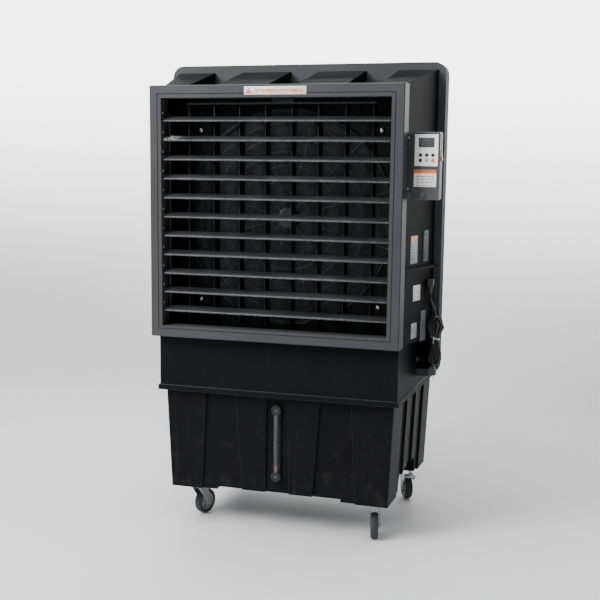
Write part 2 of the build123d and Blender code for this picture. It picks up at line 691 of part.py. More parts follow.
# ---------------------------------------------------------------- water circuit
def make_pump_and_riser():
    y = PIPE_Y - 12
    floor = TANK_BOTTOM + TANK_WALL + ARCH_H
    pump_x = PIPE_X - PUMP_SET[0]
    pump_y = y - PUMP_SET[1]
    outlet = (floor + OUTLET_Z[0], floor + OUTLET_Z[1])
    pump = rod(PUMP_R, (pump_x, pump_y, floor + 1), (pump_x, pump_y, floor + PUMP_H))
    pump += box((pump_x, PIPE_X), (pump_y - 6, pump_y + 6), outlet)
    pump += box((PIPE_X - PIPE_R + 2, PIPE_X + PIPE_R - 2), (pump_y - 6, y + 8), outlet)
    pipe = rod(PIPE_R, (PIPE_X, y, outlet[0]), (PIPE_X, y, PIPE_TOP))
    pipe += Pos(PIPE_X, y, PIPE_TOP) * Sphere(PIPE_R)
    pipe += rod(PIPE_R, (PIPE_X, y, PIPE_TOP), (PIPE_X, PAD_Y0 + PAD_T / 2, PIPE_TOP))
    pipe += Pos(PIPE_X, PAD_Y0 + PAD_T / 2, PIPE_TOP) * Sphere(PIPE_R)
    pipe += rod(PIPE_R, (PIPE_X, PAD_Y0 + PAD_T / 2, PIPE_TOP), (-PIPE_X, PAD_Y0 + PAD_T / 2, PIPE_TOP))
    return pump + pipe


nodes["pump_and_riser"] = make_pump_and_riser()


def make_inlet_valve():
    x = -TANK_TOP_HALF
    spigot = rod(INLET_R, (INLET_FACE_X - INLET_L, INLET_Y, INLET_Z), (x + 30, INLET_Y, INLET_Z))
    flange_r = INLET_R + FLANGE_PROUD
    flange_x = -tank_half(INLET_Z + flange_r) - GAP
    spigot += rod(flange_r, (INLET_FACE_X, INLET_Y, INLET_Z), (flange_x, INLET_Y, INLET_Z))
    nut_x = -tank_half(INLET_Z - flange_r) + TANK_WALL + GAP
    nut = Plane(origin=(nut_x, INLET_Y, INLET_Z), z_dir=(1, 0, 0)) * extrude(RegularPolygon(flange_r, 6), 8)
    body = box((x + 28, x + 58), (INLET_Y - 12, INLET_Y + 12), (INLET_Z - 14, INLET_Z + 10))
    arm = rod(2.5, (x + 50, INLET_Y, INLET_Z - 6), (x + 150, INLET_Y, INLET_Z - 60))
    ball = Pos(x + 165, INLET_Y, INLET_Z - 68) * Sphere(BALL_R)
    return spigot + nut + body + arm + ball


nodes["inlet_valve"] = make_inlet_valve()


def gauge_y():
    """Depth of the gauge channel's floor at the gauge's upper end."""
    share = (GAUGE_HIGH + GAUGE_R - TANK_BOTTOM) / (TANK_TOP - TANK_BOTTOM)
    return TANK_FRONT_LOW + share * (TANK_FRONT_TOP - TANK_FRONT_LOW) + FLUTE_DEPTH


def make_level_gauge():
    back = gauge_y() - GAP - 3
    front = back - 18
    gauge = None
    for z in (GAUGE_LOW, GAUGE_HIGH):
        disc = rod(GAUGE_R, (0, back, z), (0, front, z))
        gauge = disc if gauge is None else gauge + disc
    middle = (back + front) / 2
    gauge += rod(GAUGE_TUBE_R, (0, middle, GAUGE_LOW + 5), (0, middle, GAUGE_HIGH - 5))
    gauge += box((-14, 14), (back - 3, back), (GAUGE_LOW, GAUGE_HIGH))
    bore_low = GAUGE_LOW + GAUGE_R + 2
    bore_high = GAUGE_HIGH - GAUGE_R - 2
    return gauge - rod(GAUGE_BORE_R, (0, middle, bore_low), (0, middle, bore_high))


nodes["level_gauge"] = make_level_gauge()


def make_gauge_float():
    middle = gauge_y() - GAP - 3 - 9
    low = GAUGE_LOW + GAUGE_R + 3
    return rod(FLOAT_R, (0, middle, low), (0, middle, low + FLOAT_H))


nodes["gauge_float"] = make_gauge_float()


# ---------------------------------------------------------------- controller
def make_controller_box():
    y0 = CTRL_Y
    y1 = CTRL_Y + CTRL_D
    shell = box((CTRL_X0, CTRL_X1), (y0, y1), (CTRL_Z0, CTRL_Z1))
    shell = fillet(shell.edges().filter_by(Axis.Y), 6)
    shell = chamfer(shell.faces().sort_by(Axis.Y)[0].edges(), 2)
    shell -= box((CTRL_X0 + CTRL_WALL, CTRL_X1 - CTRL_WALL), (y0 + CTRL_WALL, y1 - CTRL_WALL),
                 (CTRL_Z0 + CTRL_WALL, CTRL_Z1 - CTRL_WALL))
    fascia = box((CTRL_X0 + 9, CTRL_X1 - 6), (y0 - 2, y0 + 1), (CTRL_Z1 - 118, CTRL_Z1 - 8))
    label = box((CTRL_X0 + 8, CTRL_X1 - 10), (y0 - 1, y0 + 1), (CTRL_Z0 + 46, CTRL_Z0 + 106))
    boss_x = (CTRL_X0 + CTRL_X1) / 2 - 8
    boss = rod(9, (boss_x, y0 - 6, CTRL_Z0 + 18), (boss_x, y0 + 1, CTRL_Z0 + 18))
    shell += fascia + label + boss
    for x in BUTTON_COLS:
        for z in BUTTON_ROWS:
            shell -= rod(BUTTON_R + BUTTON_GAP, (x, y0 - 5, z), (x, y0 + CTRL_WALL + 1, z))
    shell -= box((CTRL_X1 - CTRL_WALL - 1, CTRL_X1 + 1), (y0 + 20, y0 + 20 + SWITCH_W),
                 (SWITCH_Z - SWITCH_H / 2, SWITCH_Z + SWITCH_H / 2))
    wall = wall_half(y0 + 8) + GAP
    shell += box((wall, CTRL_X0 + 1), (y0 + 3, y0 + 8), (CTRL_Z0 + 26, CTRL_Z1 - 6))
    return shell


nodes["controller_box"] = make_controller_box()

button_number = 0
for row in BUTTON_ROWS:
    for column in BUTTON_COLS:
        button_number += 1
        cap = rod(BUTTON_R, (column, CTRL_Y - 2 - BUTTON_PROUD, row), (column, CTRL_Y + 6, row))
        flange = rod(BUTTON_R + 1.5, (column, CTRL_Y + CTRL_WALL + 0.3, row), (column, CTRL_Y + 7, row))
        nodes["button_%d" % button_number] = cap + flange


def make_power_switch():
    y0 = CTRL_Y + 20 + GAP
    y1 = CTRL_Y + 20 + SWITCH_W - GAP
    half = SWITCH_H / 2 - 1.5
    profile = Polyline((0, -half), (SWITCH_PROUD, -half), (1.5, 0), (SWITCH_PROUD - 2.5, half), (0, half),
                       (-6, 0), close=True)
    face = make_face(Plane(origin=(CTRL_X1, y1, SWITCH_Z), x_dir=(1, 0, 0), z_dir=(0, -1, 0)) * profile)
    return extrude(face, y1 - y0, dir=(0, -1, 0))


nodes["power_switch"] = make_power_switch()


# ---------------------------------------------------------------- casters
def make_caster_plates():
    plates = []
    for _, side, y, _, _ in CASTERS:
        x = side * CASTER_X
        plate = box((x - 45, x + 45), (y - 36, y + 36), (TANK_BOTTOM - PLATE_T, TANK_BOTTOM - GAP / 5))
        for dx in (-34, 34):
            for dy in (-26, 26):
                plate += rod(6, (x + dx, y + dy, TANK_BOTTOM - PLATE_T - 4),
                             (x + dx, y + dy, TANK_BOTTOM - PLATE_T + 1))
        plate += rod(RACE_R, (x, y, TANK_BOTTOM - PLATE_T - 7), (x, y, TANK_BOTTOM - PLATE_T + 1))
        plate += rod(KINGPIN_R, (x, y, FORK_TOP - FORK_T - 4), (x, y, TANK_BOTTOM - PLATE_T))
        plates.append(plate.solid())
    return Compound(plates)


nodes["caster_plates"] = make_caster_plates()


def make_fork(brake):
    """A fork with its wheel trailing along +X; origin on the floor under the king pin."""
    half = FORK_INNER / 2
    top = box((-26, 30), (-half - FORK_T, half + FORK_T), (FORK_TOP - FORK_T, FORK_TOP))
    fork = top + rod(RACE_R, (0, 0, FORK_TOP - 1), (0, 0, TANK_BOTTOM - PLATE_T - 7.3))
    fork -= rod(KINGPIN_R + RUNNING, (0, 0, FORK_TOP - 10), (0, 0, TANK_BOTTOM))
    for side in (-1, 1):
        y = sorted((side * half, side * (half + FORK_T)))
        leg = Polyline((-24, FORK_TOP - 1), (30, FORK_TOP - 1), (TRAIL + 13, WHEEL_R + 6),
                       (TRAIL + 9, WHEEL_R - 12), (TRAIL - 9, WHEEL_R - 12), (TRAIL - 15, WHEEL_R + 6),
                       close=True)
        face = make_face(Plane(origin=(0, y[1], 0), x_dir=(1, 0, 0), z_dir=(0, -1, 0)) * leg)
        fork += extrude(face, FORK_T, dir=(0, -1, 0))
    axle = rod(AXLE_R, (TRAIL, -half - FORK_T - 4, WHEEL_R), (TRAIL, half + FORK_T + 4, WHEEL_R))
    fork += axle
    if brake:
        fork += rod(3, (TRAIL + 2, -half - FORK_T - 3, FORK_TOP - 30), (TRAIL + 2, -half, FORK_TOP - 30))
        fork += rod(3, (TRAIL + 2, half, FORK_TOP - 30), (TRAIL + 2, half + FORK_T + 3, FORK_TOP - 30))
    return fork


def make_wheel():
    half = WHEEL_W / 2
    wheel = rod(WHEEL_R, (TRAIL, -half, WHEEL_R), (TRAIL, half, WHEEL_R))
    wheel = fillet(wheel.edges().filter_by(GeomType.CIRCLE), 6)
    wheel -= rod(AXLE_R + RUNNING, (TRAIL, -half - 1, WHEEL_R), (TRAIL, half + 1, WHEEL_R))
    return wheel


def make_brake():
    """The brake pedal over the wheel, turning about the rivets in the fork."""
    half = FORK_INNER / 2
    x = TRAIL + 2
    z = FORK_TOP - 30
    reach = TRAIL + WHEEL_R + 16
    pedal = box((x + 12, reach), (-half + 3, half - 3), (z + 14, z + 18))
    for side in (-1, 1):
        y = sorted((side * (half + FORK_T + 0.4), side * (half + FORK_T + 2.4)))
        arm = box((x - 7, x + 34), y, (z - 7, z + 18))
        arm -= rod(3 + RUNNING, (x, y[0] - 1, z), (x, y[1] + 1, z))
        pedal += arm
    pedal += box((x + 26, reach), (-half - FORK_T - 2.4, half + FORK_T + 2.4), (z + 14, z + 18))
    return pedal


for name, side, y, angle, brake in CASTERS:
    place = Pos(side * CASTER_X, y, 0) * Rot(0, 0, angle)
    nodes["caster_fork_" + name] = place * make_fork(brake)
    nodes["caster_wheel_" + name] = place * make_wheel()
    if brake:
        nodes["brake_pedal_" + name] = place * make_brake()


# ---------------------------------------------------------------- cord
GLAND_X = wall_half(GLAND_Y) + GLAND_STANDOFF


def make_cord_gland():
    wall = wall_half(GLAND_Y + 12) + GAP
    top = GLAND_Z + GLAND_L
    block = box((wall, GLAND_X + 11), (GLAND_Y - 12, GLAND_Y + 12), (top - 6, top + 18))
    nut = Pos(GLAND_X, GLAND_Y, top - 14) * extrude(RegularPolygon(11, 6), 9)
    relief = Pos(GLAND_X, GLAND_Y, GLAND_Z + GLAND_L / 2 - 4) * Cone(CORD_R + 2, CORD_R + 4.5, GLAND_L - 8)
    return block + nut + relief


nodes["cord_gland"] = make_cord_gland()

CORD_ROUTE = (
    (GLAND_X, GLAND_Y, GLAND_Z),
    (GLAND_X, GLAND_Y, GLAND_Z - 22),
    (GLAND_X + 7, GLAND_Y + 6, GLAND_Z - 43),
    (GLAND_X + 15, GLAND_Y + 14, GLAND_Z - 64),
    (HANK_X, HANK_Y, HANK_TOP),
)


def corner_radii(points):
    """Bend radius at each corner: 0.45 of its shorter run over the tangent of half the turn."""
    radii = []
    for before, corner, after in zip(points, points[1:], points[2:]):
        run_in = Vector(*corner) - Vector(*before)
        run_out = Vector(*after) - Vector(*corner)
        turn = math.radians(run_in.get_angle(run_out))
        radii.append(0.45 * min(run_in.length, run_out.length) / math.tan(turn / 2))
    return radii


def make_power_cord():
    radii = corner_radii(CORD_ROUTE)
    print("cord bend radii", [round(radius, 1) for radius in radii])
    path = FilletPolyline(*CORD_ROUTE, radius=radii)
    section = Plane(origin=path @ 0, z_dir=path % 0) * Circle(CORD_R)
    tube = sweep(section, path=path)
    print("cord volume", round(tube.volume), "section x length", round(math.pi * CORD_R**2 * path.length))
    return tube


nodes["power_cord"] = make_power_cord()


def make_cord_hank():
    profile = Polyline((0, HANK_BOTTOM), (14, HANK_BOTTOM), (21, HANK_BOTTOM + 45), (13, HANK_BOTTOM + 110),
                       (HANK_R, HANK_BOTTOM + 152), (18, HANK_TOP - 12), (8, HANK_TOP), (0, HANK_TOP),
                       close=True)
    return Pos(HANK_X, HANK_Y, 0) * revolve(make_face(Plane.XZ * profile), Axis.Z)


nodes["cord_hank"] = make_cord_hank()


def make_plug():
    x = HANK_X - 10
    body = box((x - PLUG_W / 2, x + PLUG_W / 2), (HANK_Y - PLUG_D / 2, HANK_Y + PLUG_D / 2),
               (HANK_BOTTOM - PLUG_H, HANK_BOTTOM))
    body = fillet(body.edges().filter_by(Axis.Z), 5)
    for dx in (-7, 7):
        body += box((x + dx - 1, x + dx + 1), (HANK_Y - 3, HANK_Y + 3),
                    (HANK_BOTTOM - PLUG_H - 16, HANK_BOTTOM - PLUG_H + 2))
    return body


nodes["plug"] = make_plug()

# ---------------------------------------------------------------- place and write
ORIGIN_X = (CTRL_X1 + SWITCH_PROUD - RIM_HALF) / 2
ORIGIN_Y = DEPTH / 2

for node, shape in nodes.items():
    placed = Pos(-ORIGIN_X, -ORIGIN_Y, 0) * shape
    export_step(placed, os.path.join("parts", node + ".step"))
print(len(nodes), "nodes")
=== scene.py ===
import json
import math

import bmesh
import bpy
from mathutils import Matrix, Vector


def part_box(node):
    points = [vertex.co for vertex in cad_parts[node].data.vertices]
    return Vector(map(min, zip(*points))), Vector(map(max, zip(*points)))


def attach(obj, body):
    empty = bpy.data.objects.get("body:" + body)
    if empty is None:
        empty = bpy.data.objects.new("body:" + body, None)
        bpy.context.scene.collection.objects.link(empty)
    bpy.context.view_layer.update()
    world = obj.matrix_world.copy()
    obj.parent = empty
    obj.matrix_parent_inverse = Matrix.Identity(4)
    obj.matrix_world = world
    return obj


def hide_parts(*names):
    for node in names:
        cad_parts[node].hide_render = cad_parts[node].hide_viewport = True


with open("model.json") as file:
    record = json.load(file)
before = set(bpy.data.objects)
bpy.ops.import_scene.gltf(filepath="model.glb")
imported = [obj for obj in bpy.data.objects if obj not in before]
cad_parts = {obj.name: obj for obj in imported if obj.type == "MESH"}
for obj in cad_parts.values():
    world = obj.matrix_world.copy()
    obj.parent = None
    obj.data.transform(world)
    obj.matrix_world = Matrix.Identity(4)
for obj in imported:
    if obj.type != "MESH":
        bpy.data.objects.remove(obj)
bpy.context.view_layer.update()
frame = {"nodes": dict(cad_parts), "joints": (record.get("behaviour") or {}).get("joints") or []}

# ---------------------------------------------------------------- camera and places
# Every place is given in millimetres from the cabinet's mid-plane, its outlet face and the floor.
# The camera stands in front of the cooler and to its right, a little above its middle.
outlet_low, outlet_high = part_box("outlet_frame")
MID = (outlet_low.x + outlet_high.x) / 2
FACE = outlet_low.y
scene = bpy.context.scene


def at(x, y, z):
    """A cabinet point in millimetres as a point of the row frame in metres."""
    return Vector((MID + x / 1000, FACE + y / 1000, z / 1000))


def shown(name, data):
    """A new object in the scene."""
    thing = bpy.data.objects.new(name, data)
    scene.collection.objects.link(thing)
    return thing


def place_camera():
    data = bpy.data.cameras.new("camera")
    data.lens = 64.62
    data.sensor_width = 36.0
    data.shift_y = 0.05
    yaw, pitch, roll = math.radians(17.66), math.radians(8.71), math.radians(0.66)
    ahead = Vector((-math.sin(yaw) * math.cos(pitch), math.cos(yaw) * math.cos(pitch), -math.sin(pitch)))
    level = ahead.cross(Vector((0, 0, 1))).normalized()
    upward = level.cross(ahead)
    right = level * math.cos(roll) + upward * math.sin(roll)
    top = upward * math.cos(roll) - level * math.sin(roll)
    camera = shown("camera", data)
    turn = Matrix((right, top, -ahead)).transposed().to_4x4()
    camera.matrix_world = Matrix.Translation(at(1286, -3684, 1397)) @ turn
    scene.camera = camera


place_camera()


# ---------------------------------------------------------------- finishes
# A finish is a small set of shader nodes on the piece's own coordinates.
# Values are written as sums and products of node outputs.
class Wire:
    """One node output; sums, products and powers of wires make maths nodes."""

    def __init__(self, finish, socket):
        self.finish = finish
        self.socket = socket

    def __add__(self, other):
        return self.finish.maths("ADD", self, other)

    def __radd__(self, other):
        return self.finish.maths("ADD", other, self)

    def __sub__(self, other):
        return self.finish.maths("SUBTRACT", self, other)

    def __rsub__(self, other):
        return self.finish.maths("SUBTRACT", other, self)

    def __mul__(self, other):
        return self.finish.maths("MULTIPLY", self, other)

    def __rmul__(self, other):
        return self.finish.maths("MULTIPLY", other, self)

    def __pow__(self, other):
        return self.finish.maths("POWER", self, other)

    def __gt__(self, other):
        return self.finish.maths("GREATER_THAN", self, other)

    def __lt__(self, other):
        return self.finish.maths("LESS_THAN", self, other)


class Finish:
    """A material made of nodes, on object coordinates."""

    def __init__(self, name):
        self.material = bpy.data.materials.new(name)
        self.material.use_nodes = True
        self.tree = self.material.node_tree
        self.tree.nodes.clear()
        coordinates = self.node("ShaderNodeTexCoord")
        self.place = Wire(self, coordinates.outputs["Object"])
        parts = self.node("ShaderNodeSeparateXYZ", {}, {0: self.place})
        self.x, self.y, self.z = [Wire(self, output) for output in parts.outputs]
        facing = self.node("ShaderNodeSeparateXYZ", {}, {0: Wire(self, coordinates.outputs["Normal"])})
        self.up = Wire(self, facing.outputs[2])

    def node(self, kind, settings=None, inputs=None):
        """A node with its settings, and its inputs linked or set."""
        made = self.tree.nodes.new(kind)
        for key, value in (settings or {}).items():
            setattr(made, key, value)
        for key, value in (inputs or {}).items():
            if isinstance(value, Wire):
                self.tree.links.new(value.socket, made.inputs[key])
            else:
                made.inputs[key].default_value = value
        return made

    def maths(self, operation, a, b):
        return Wire(self, self.node("ShaderNodeMath", {"operation": operation}, {0: a, 1: b}).outputs[0])

    def noise(self, scale, detail=3.0, stretch=(1, 1, 1), shift=0.0):
        """Cloudy variation from 0 to 1; the stretch sets its grain along each axis."""
        spot = self.node("ShaderNodeVectorMath", {"operation": "MULTIPLY_ADD"},
                         {0: self.place, 1: stretch, 2: (shift, shift, shift)})
        inputs = {"Vector": Wire(self, spot.outputs[0]), "Scale": scale, "Detail": detail}
        return Wire(self, self.node("ShaderNodeTexNoise", {}, inputs).outputs[0])

    def cells(self, scale, stretch=(1, 1, 1)):
        """A random value for each cell."""
        spot = self.node("ShaderNodeVectorMath", {"operation": "MULTIPLY"}, {0: self.place, 1: stretch})
        made = self.node("ShaderNodeTexVoronoi", {}, {"Vector": Wire(self, spot.outputs[0]), "Scale": scale})
        return Wire(self, self.node("ShaderNodeSeparateColor", {},
                                    {0: Wire(self, made.outputs["Color"])}).outputs[0])

    def rise(self, value, low, high, start=0.0, end=1.0):
        """Goes smoothly from start to end while the value goes from low to high."""
        inputs = {0: value, 1: low, 2: high, 3: start, 4: end}
        made = self.node("ShaderNodeMapRange", {"interpolation_type": "SMOOTHSTEP"}, inputs)
        return Wire(self, made.outputs[0])

    def blend(self, share, first, second):
        """From the first colour to the second."""
        inputs = {0: share}
        for key, colour in ((6, first), (7, second)):
            inputs[key] = colour if isinstance(colour, Wire) else (*colour, 1.0)
        return Wire(self, self.node("ShaderNodeMix", {"data_type": "RGBA"}, inputs).outputs[2])

    def bump(self, height, distance, strength=1.0):
        inputs = {"Height": height, "Distance": distance, "Strength": strength}
        return Wire(self, self.node("ShaderNodeBump", {}, inputs).outputs[0])

    def surface(self, **inputs):
        """Ends the finish with one shader; names are its sockets with spaces as underscores."""
        sockets = {}
        for key, value in inputs.items():
            name = key.replace("_", " ")
            sockets[name] = (*value, 1.0) if isinstance(value, tuple) and len(value) == 3 else value
        shader = self.node("ShaderNodeBsdfPrincipled", {}, sockets)
        output = self.node("ShaderNodeOutputMaterial")
        self.tree.links.new(shader.outputs[0], output.inputs[0])
        return self.material


DUST = (0.10, 0.097, 0.092)


def moulded(name, colour, roughness=0.42, grain=0.00012, dust=0.35, splash=0.0, streak=0.25, specular=0.12):
    """Moulded plastic: fine grain, faint flow marks, dust where it faces up, water marks low down."""
    f = Finish(name)
    cloud = f.noise(5.0, 4.0)
    fine = f.noise(90.0, 3.0, shift=2.0)
    lines = f.noise(9.0, 4.0, stretch=(6, 6, 0.35), shift=5.0)
    settled = f.rise(f.up, 0.25, 0.95) * f.rise(cloud, 0.3, 0.75) * (dust * 0.3)
    runs = f.rise(lines, 0.55, 0.8) * (streak * 0.5)
    low = f.rise(f.z, 0.62, 0.12) * f.rise(f.noise(22.0, 6.0, shift=9.0), 0.5, 0.78) * splash
    specks = f.rise(f.noise(420.0, 1.0, shift=4.0), 0.72, 0.8) * f.rise(cloud, 0.4, 0.8) * 0.35
    dirt = f.maths("MINIMUM", settled + runs * 0.4 + low + specks * dust, 0.9)
    lighter = tuple(min(1.0, channel * 1.3 + 0.0005) for channel in colour)
    tone = f.blend(f.rise(cloud * 0.6 + fine * 0.4, 0.3, 0.75), colour, lighter)
    texture = f.noise(700.0, 2.0, shift=3.0) * 0.7 + fine * 0.3
    return f.surface(
        Base_Color=f.blend(dirt, tone, DUST),
        Roughness=f.maths("MINIMUM", roughness + (fine - 0.5) * 0.18 + dirt * 0.4 + runs * 0.2, 0.95),
        Specular_IOR_Level=specular,
        Normal=f.bump(texture, grain),
    )


def edge_wear_and_highlight(name, colour, roughness=0.3):
    """A paler, smoother edge, broken up along its length: rubbed wear on most pieces, and a painted highlight
    on the louvre noses.
    """
    f = Finish(name)
    rub_and_glint = f.rise(f.noise(60.0, 5.0, shift=1.0), 0.35, 0.7)
    # The paler colour is wear on rubbed edges, and painted highlight on the louvre noses.
    paler = tuple(min(1.0, channel * 1.8 + 0.006) for channel in colour)
    return f.surface(Base_Color=f.blend(rub_and_glint, colour, paler), Roughness=roughness + rub_and_glint * 0.15,
                     Specular_IOR_Level=0.2,
                     Normal=f.bump(f.noise(500.0), 0.0001))


def metal(name, colour, roughness=0.35, spangle=0.0, brushed=(1, 1, 1), rust=0.0):
    """Plated or painted metal, with spangle or brushing, and stains in its corners."""
    f = Finish(name)
    lines = f.noise(260.0, 4.0, stretch=brushed)
    flake = f.cells(240.0)
    stain = f.rise(f.noise(45.0, 6.0, shift=6.0), 0.56, 0.72) * rust
    darker = tuple(channel * 0.72 for channel in colour)
    tone = f.blend(flake * spangle + lines * 0.3, colour, darker)
    return f.surface(Base_Color=f.blend(stain, tone, (0.16, 0.09, 0.05)),
                     Metallic=1.0 - stain * 0.9, Roughness=roughness + lines * 0.18 + stain * 0.3,
                     Normal=f.bump(lines, 0.00008))


def printed(across, up, left, right, low, high):
    """1 inside a printed rectangle, else 0."""
    return (across > left) * (across < right) * (up > low) * (up < high)


# ---------------------------------------------------------------- mains cord, tie and plug
# A black three-core rubber cord leaves the strain relief on the right side, hangs beside the cabinet,
# and is folded into a loose hank held by a plastic tie, with a moulded plug at its end.
CORD_D = 0.007
HANK = at(546, 344, 0)
TURNS = ((0.832, 0.648, 200), (0.826, 0.655, 233), (0.835, 0.644, 262),
         (0.820, 0.661, 290), (0.829, 0.651, 322), (0.815, 0.667, 351))


def hank_points():
    """Control points of the folded turns; each is a tall loop in its own upright plane."""
    points = []
    for high, low, degrees in TURNS:
        away = Vector((math.cos(math.radians(degrees)), math.sin(math.radians(degrees))))
        half = ((19, high - 0.005), (25, high - 0.024), (24, 0.792), (11.5, 0.752), (16, 0.712),
                (24, low + 0.026), (19, low + 0.006))
        points.append((HANK.x, HANK.y, high))
        for reach, z in half:
            fan = 1.28 if 0.78 < z < 0.81 else 1.0
            points.append((HANK.x + away.x * reach * fan / 1000, HANK.y + away.y * reach * fan / 1000, z))
        points.append((HANK.x, HANK.y, low))
        for reach, z in reversed(half):
            points.append((HANK.x - away.x * reach / 1000, HANK.y - away.y * reach * 0.9 / 1000, z))
    return points


def make_cord():
    lead = [at(526, 325, 925), at(526, 325, 903), at(533, 331, 882), at(541, 339, 861)]
    tail = [at(546, 340, 826), at(534, 328, 812), at(530, 324, 790), at(539, 335, 752),
            at(535, 335, 712), at(535, 341, 680), at(536, 344, 655), at(536, 344, 641)]
    points = lead + hank_points() + tail
    curve = bpy.data.curves.new("mains_cord", "CURVE")
    curve.dimensions = "3D"
    curve.bevel_depth = CORD_D / 2
    curve.bevel_resolution = 5
    curve.resolution_u = 8
    line = curve.splines.new("NURBS")
    line.points.add(len(points) - 1)
    for point, place in zip(line.points, points):
        point.co = (*place, 1.0)
    line.order_u = 3
    line.use_endpoint_u = True
    return curve


def rubber(name, colour, roughness, tread=0.0):
    """Rubber: matt, with a pale bloom and fine dust."""
    f = Finish(name)
    bloom = f.rise(f.noise(70.0, 5.0), 0.45, 0.8)
    grit = f.rise(f.noise(600.0, 2.0, shift=3.0), 0.6, 0.75)
    tone = f.blend(bloom * 0.25 + grit * 0.15, colour, (0.12, 0.12, 0.12))
    return f.surface(Base_Color=tone, Roughness=roughness + bloom * 0.15,
                     Normal=f.bump(f.noise(900.0, 2.0) + grit * 0.5, 0.00008 + tread))


def riding(name, mesh, finishes, body="cabinet", stands_for=()):
    """A finished piece: its mesh and finishes, the body it moves with, and the nodes it replaces."""
    piece = shown(name, mesh)
    if not mesh.materials:
        for finish in finishes:
            mesh.materials.append(finish)
    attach(piece, body)
    if stands_for:
        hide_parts(*stands_for)
    return piece


class Shape:
    """Gathers loops of points into one mesh; every shape in it may have its own finish number."""

    def __init__(self):
        self.bm = bmesh.new()

    def loft(self, rings, finish=0, caps=True):
        """Skins rings that have equal numbers of points."""
        made = [[self.bm.verts.new(point) for point in ring] for ring in rings]
        faces = []
        for one, two in zip(made, made[1:]):
            count = len(one)
            for k in range(count):
                faces.append(self.bm.faces.new((one[k], one[(k + 1) % count], two[(k + 1) % count], two[k])))
        if caps:
            faces.append(self.bm.faces.new(list(reversed(made[0]))))
            faces.append(self.bm.faces.new(made[-1]))
        for face in faces:
            face.material_index = finish
            face.smooth = True
        return self

    def lathe(self, profile, place, axis, finish=0, steps=48):
        """Turns (radius, distance along the axis) pairs, in metres, about an axis from a place."""
        along = Vector(axis).normalized()
        side = along.orthogonal().normalized()
        other = along.cross(side)
        rings = []
        for radius, distance in profile:
            ring = []
            for step in range(steps):
                angle = 2 * math.pi * step / steps
                out = side * math.cos(angle) + other * math.sin(angle)
                ring.append(Vector(place) + along * distance + out * max(radius, 0.00001))
            rings.append(ring)
        return self.loft(rings, finish)

    def rod(self, start, end, radius, finish=0, steps=24, edge=0.0004):
        """A round bar with broken edges."""
        along = Vector(end) - Vector(start)
        length = along.length
        edge = min(edge, length / 3, radius / 3)
        profile = ((radius - edge, 0), (radius, edge), (radius, length - edge), (radius - edge, length))
        return self.lathe(profile, start, along, finish, steps)

    def block(self, low, high, finish=0, edge=0.001, turn=None):
        """A box with broken edges between two corners, turned by a matrix if one is given."""
        low, high = Vector(low), Vector(high)
        low, high = Vector(map(min, low, high)), Vector(map(max, low, high))
        grown = bmesh.ops.create_cube(self.bm, size=1.0)["verts"]
        for vert in grown:
            vert.co = Vector((low[i] + (vert.co[i] + 0.5) * (high[i] - low[i]) for i in range(3)))
            if turn:
                vert.co = turn @ vert.co
        edges = list({e for vert in grown for e in vert.link_edges})
        faces = {f for vert in grown for f in vert.link_faces}
        edge = min(edge, min(high - low) / 3)
        cut = bmesh.ops.bevel(self.bm, geom=edges, offset=edge, segments=2, profile=0.5, affect="EDGES")
        for face in set(cut["faces"]) | {f for f in faces if f.is_valid}:
            face.material_index = finish
        return self

    def done(self, name, finishes=(), sharp=35.0):
        """The mesh, with smooth shading except over sharp edges."""
        bmesh.ops.recalc_face_normals(self.bm, faces=self.bm.faces)
        mesh = bpy.data.meshes.new(name)
        self.bm.to_mesh(mesh)
        self.bm.free()
        mesh.shade_smooth()
        mesh.set_sharp_from_angle(angle=math.radians(sharp))
        for finish in finishes:
            mesh.materials.append(finish)
        return mesh


CORD_BLACK = rubber("cord_black", (0.012, 0.012, 0.013), 0.5)
PLUG_GREY = moulded("plug_grey", (0.10, 0.105, 0.11), 0.45, dust=0.2)
TIE_GREY = moulded("tie_grey", (0.42, 0.43, 0.44), 0.35, dust=0.1)
PIN_BRASS = metal("pin_brass", (0.62, 0.50, 0.28), 0.25)

cord = riding("mains_cord", make_cord(), [CORD_BLACK], "cabinet", ("power_cord", "cord_hank"))


def make_plug():
    """A tapered moulded body with finger ribs, a ribbed cord sleeve and two flat pins."""
    low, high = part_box("plug")
    middle = (low + high) / 2
    top = 0.640
    shape = Shape()
    rings = []
    for z, wide, deep in ((-0.034, 16, 13), (-0.033, 17, 14), (-0.020, 17, 14), (-0.012, 15, 12.5),
                          (-0.006, 12, 10.5),
                          (-0.001, 8.5, 8.5), (0.0, 7.5, 7.5)):
        ring = []
        for step in range(32):
            angle = 2 * math.pi * step / 32
            c, s = math.cos(angle), math.sin(angle)
            ring.append(Vector((middle.x + math.copysign(abs(c) ** 0.5, c) * wide / 1000,
                                middle.y + math.copysign(abs(s) ** 0.5, s) * deep / 1000, top + z)))
        rings.append(ring)
    shape.loft(rings)
    for k in range(4):
        z = top - 0.014 - 0.004 * k
        shape.block((middle.x - 0.0175, middle.y - 0.008, z - 0.001),
                    (middle.x + 0.0175, middle.y + 0.008, z + 0.001))
    for dx in (-0.007, 0.007):
        shape.block((middle.x + dx - 0.001, middle.y - 0.003, low.z),
                    (middle.x + dx + 0.001, middle.y + 0.003, top - 0.032),
                    finish=1, edge=0.0004)
    return riding("plug_body", shape.done("plug_body", [PLUG_GREY, PIN_BRASS]), [],
                  "cabinet", ("plug",))


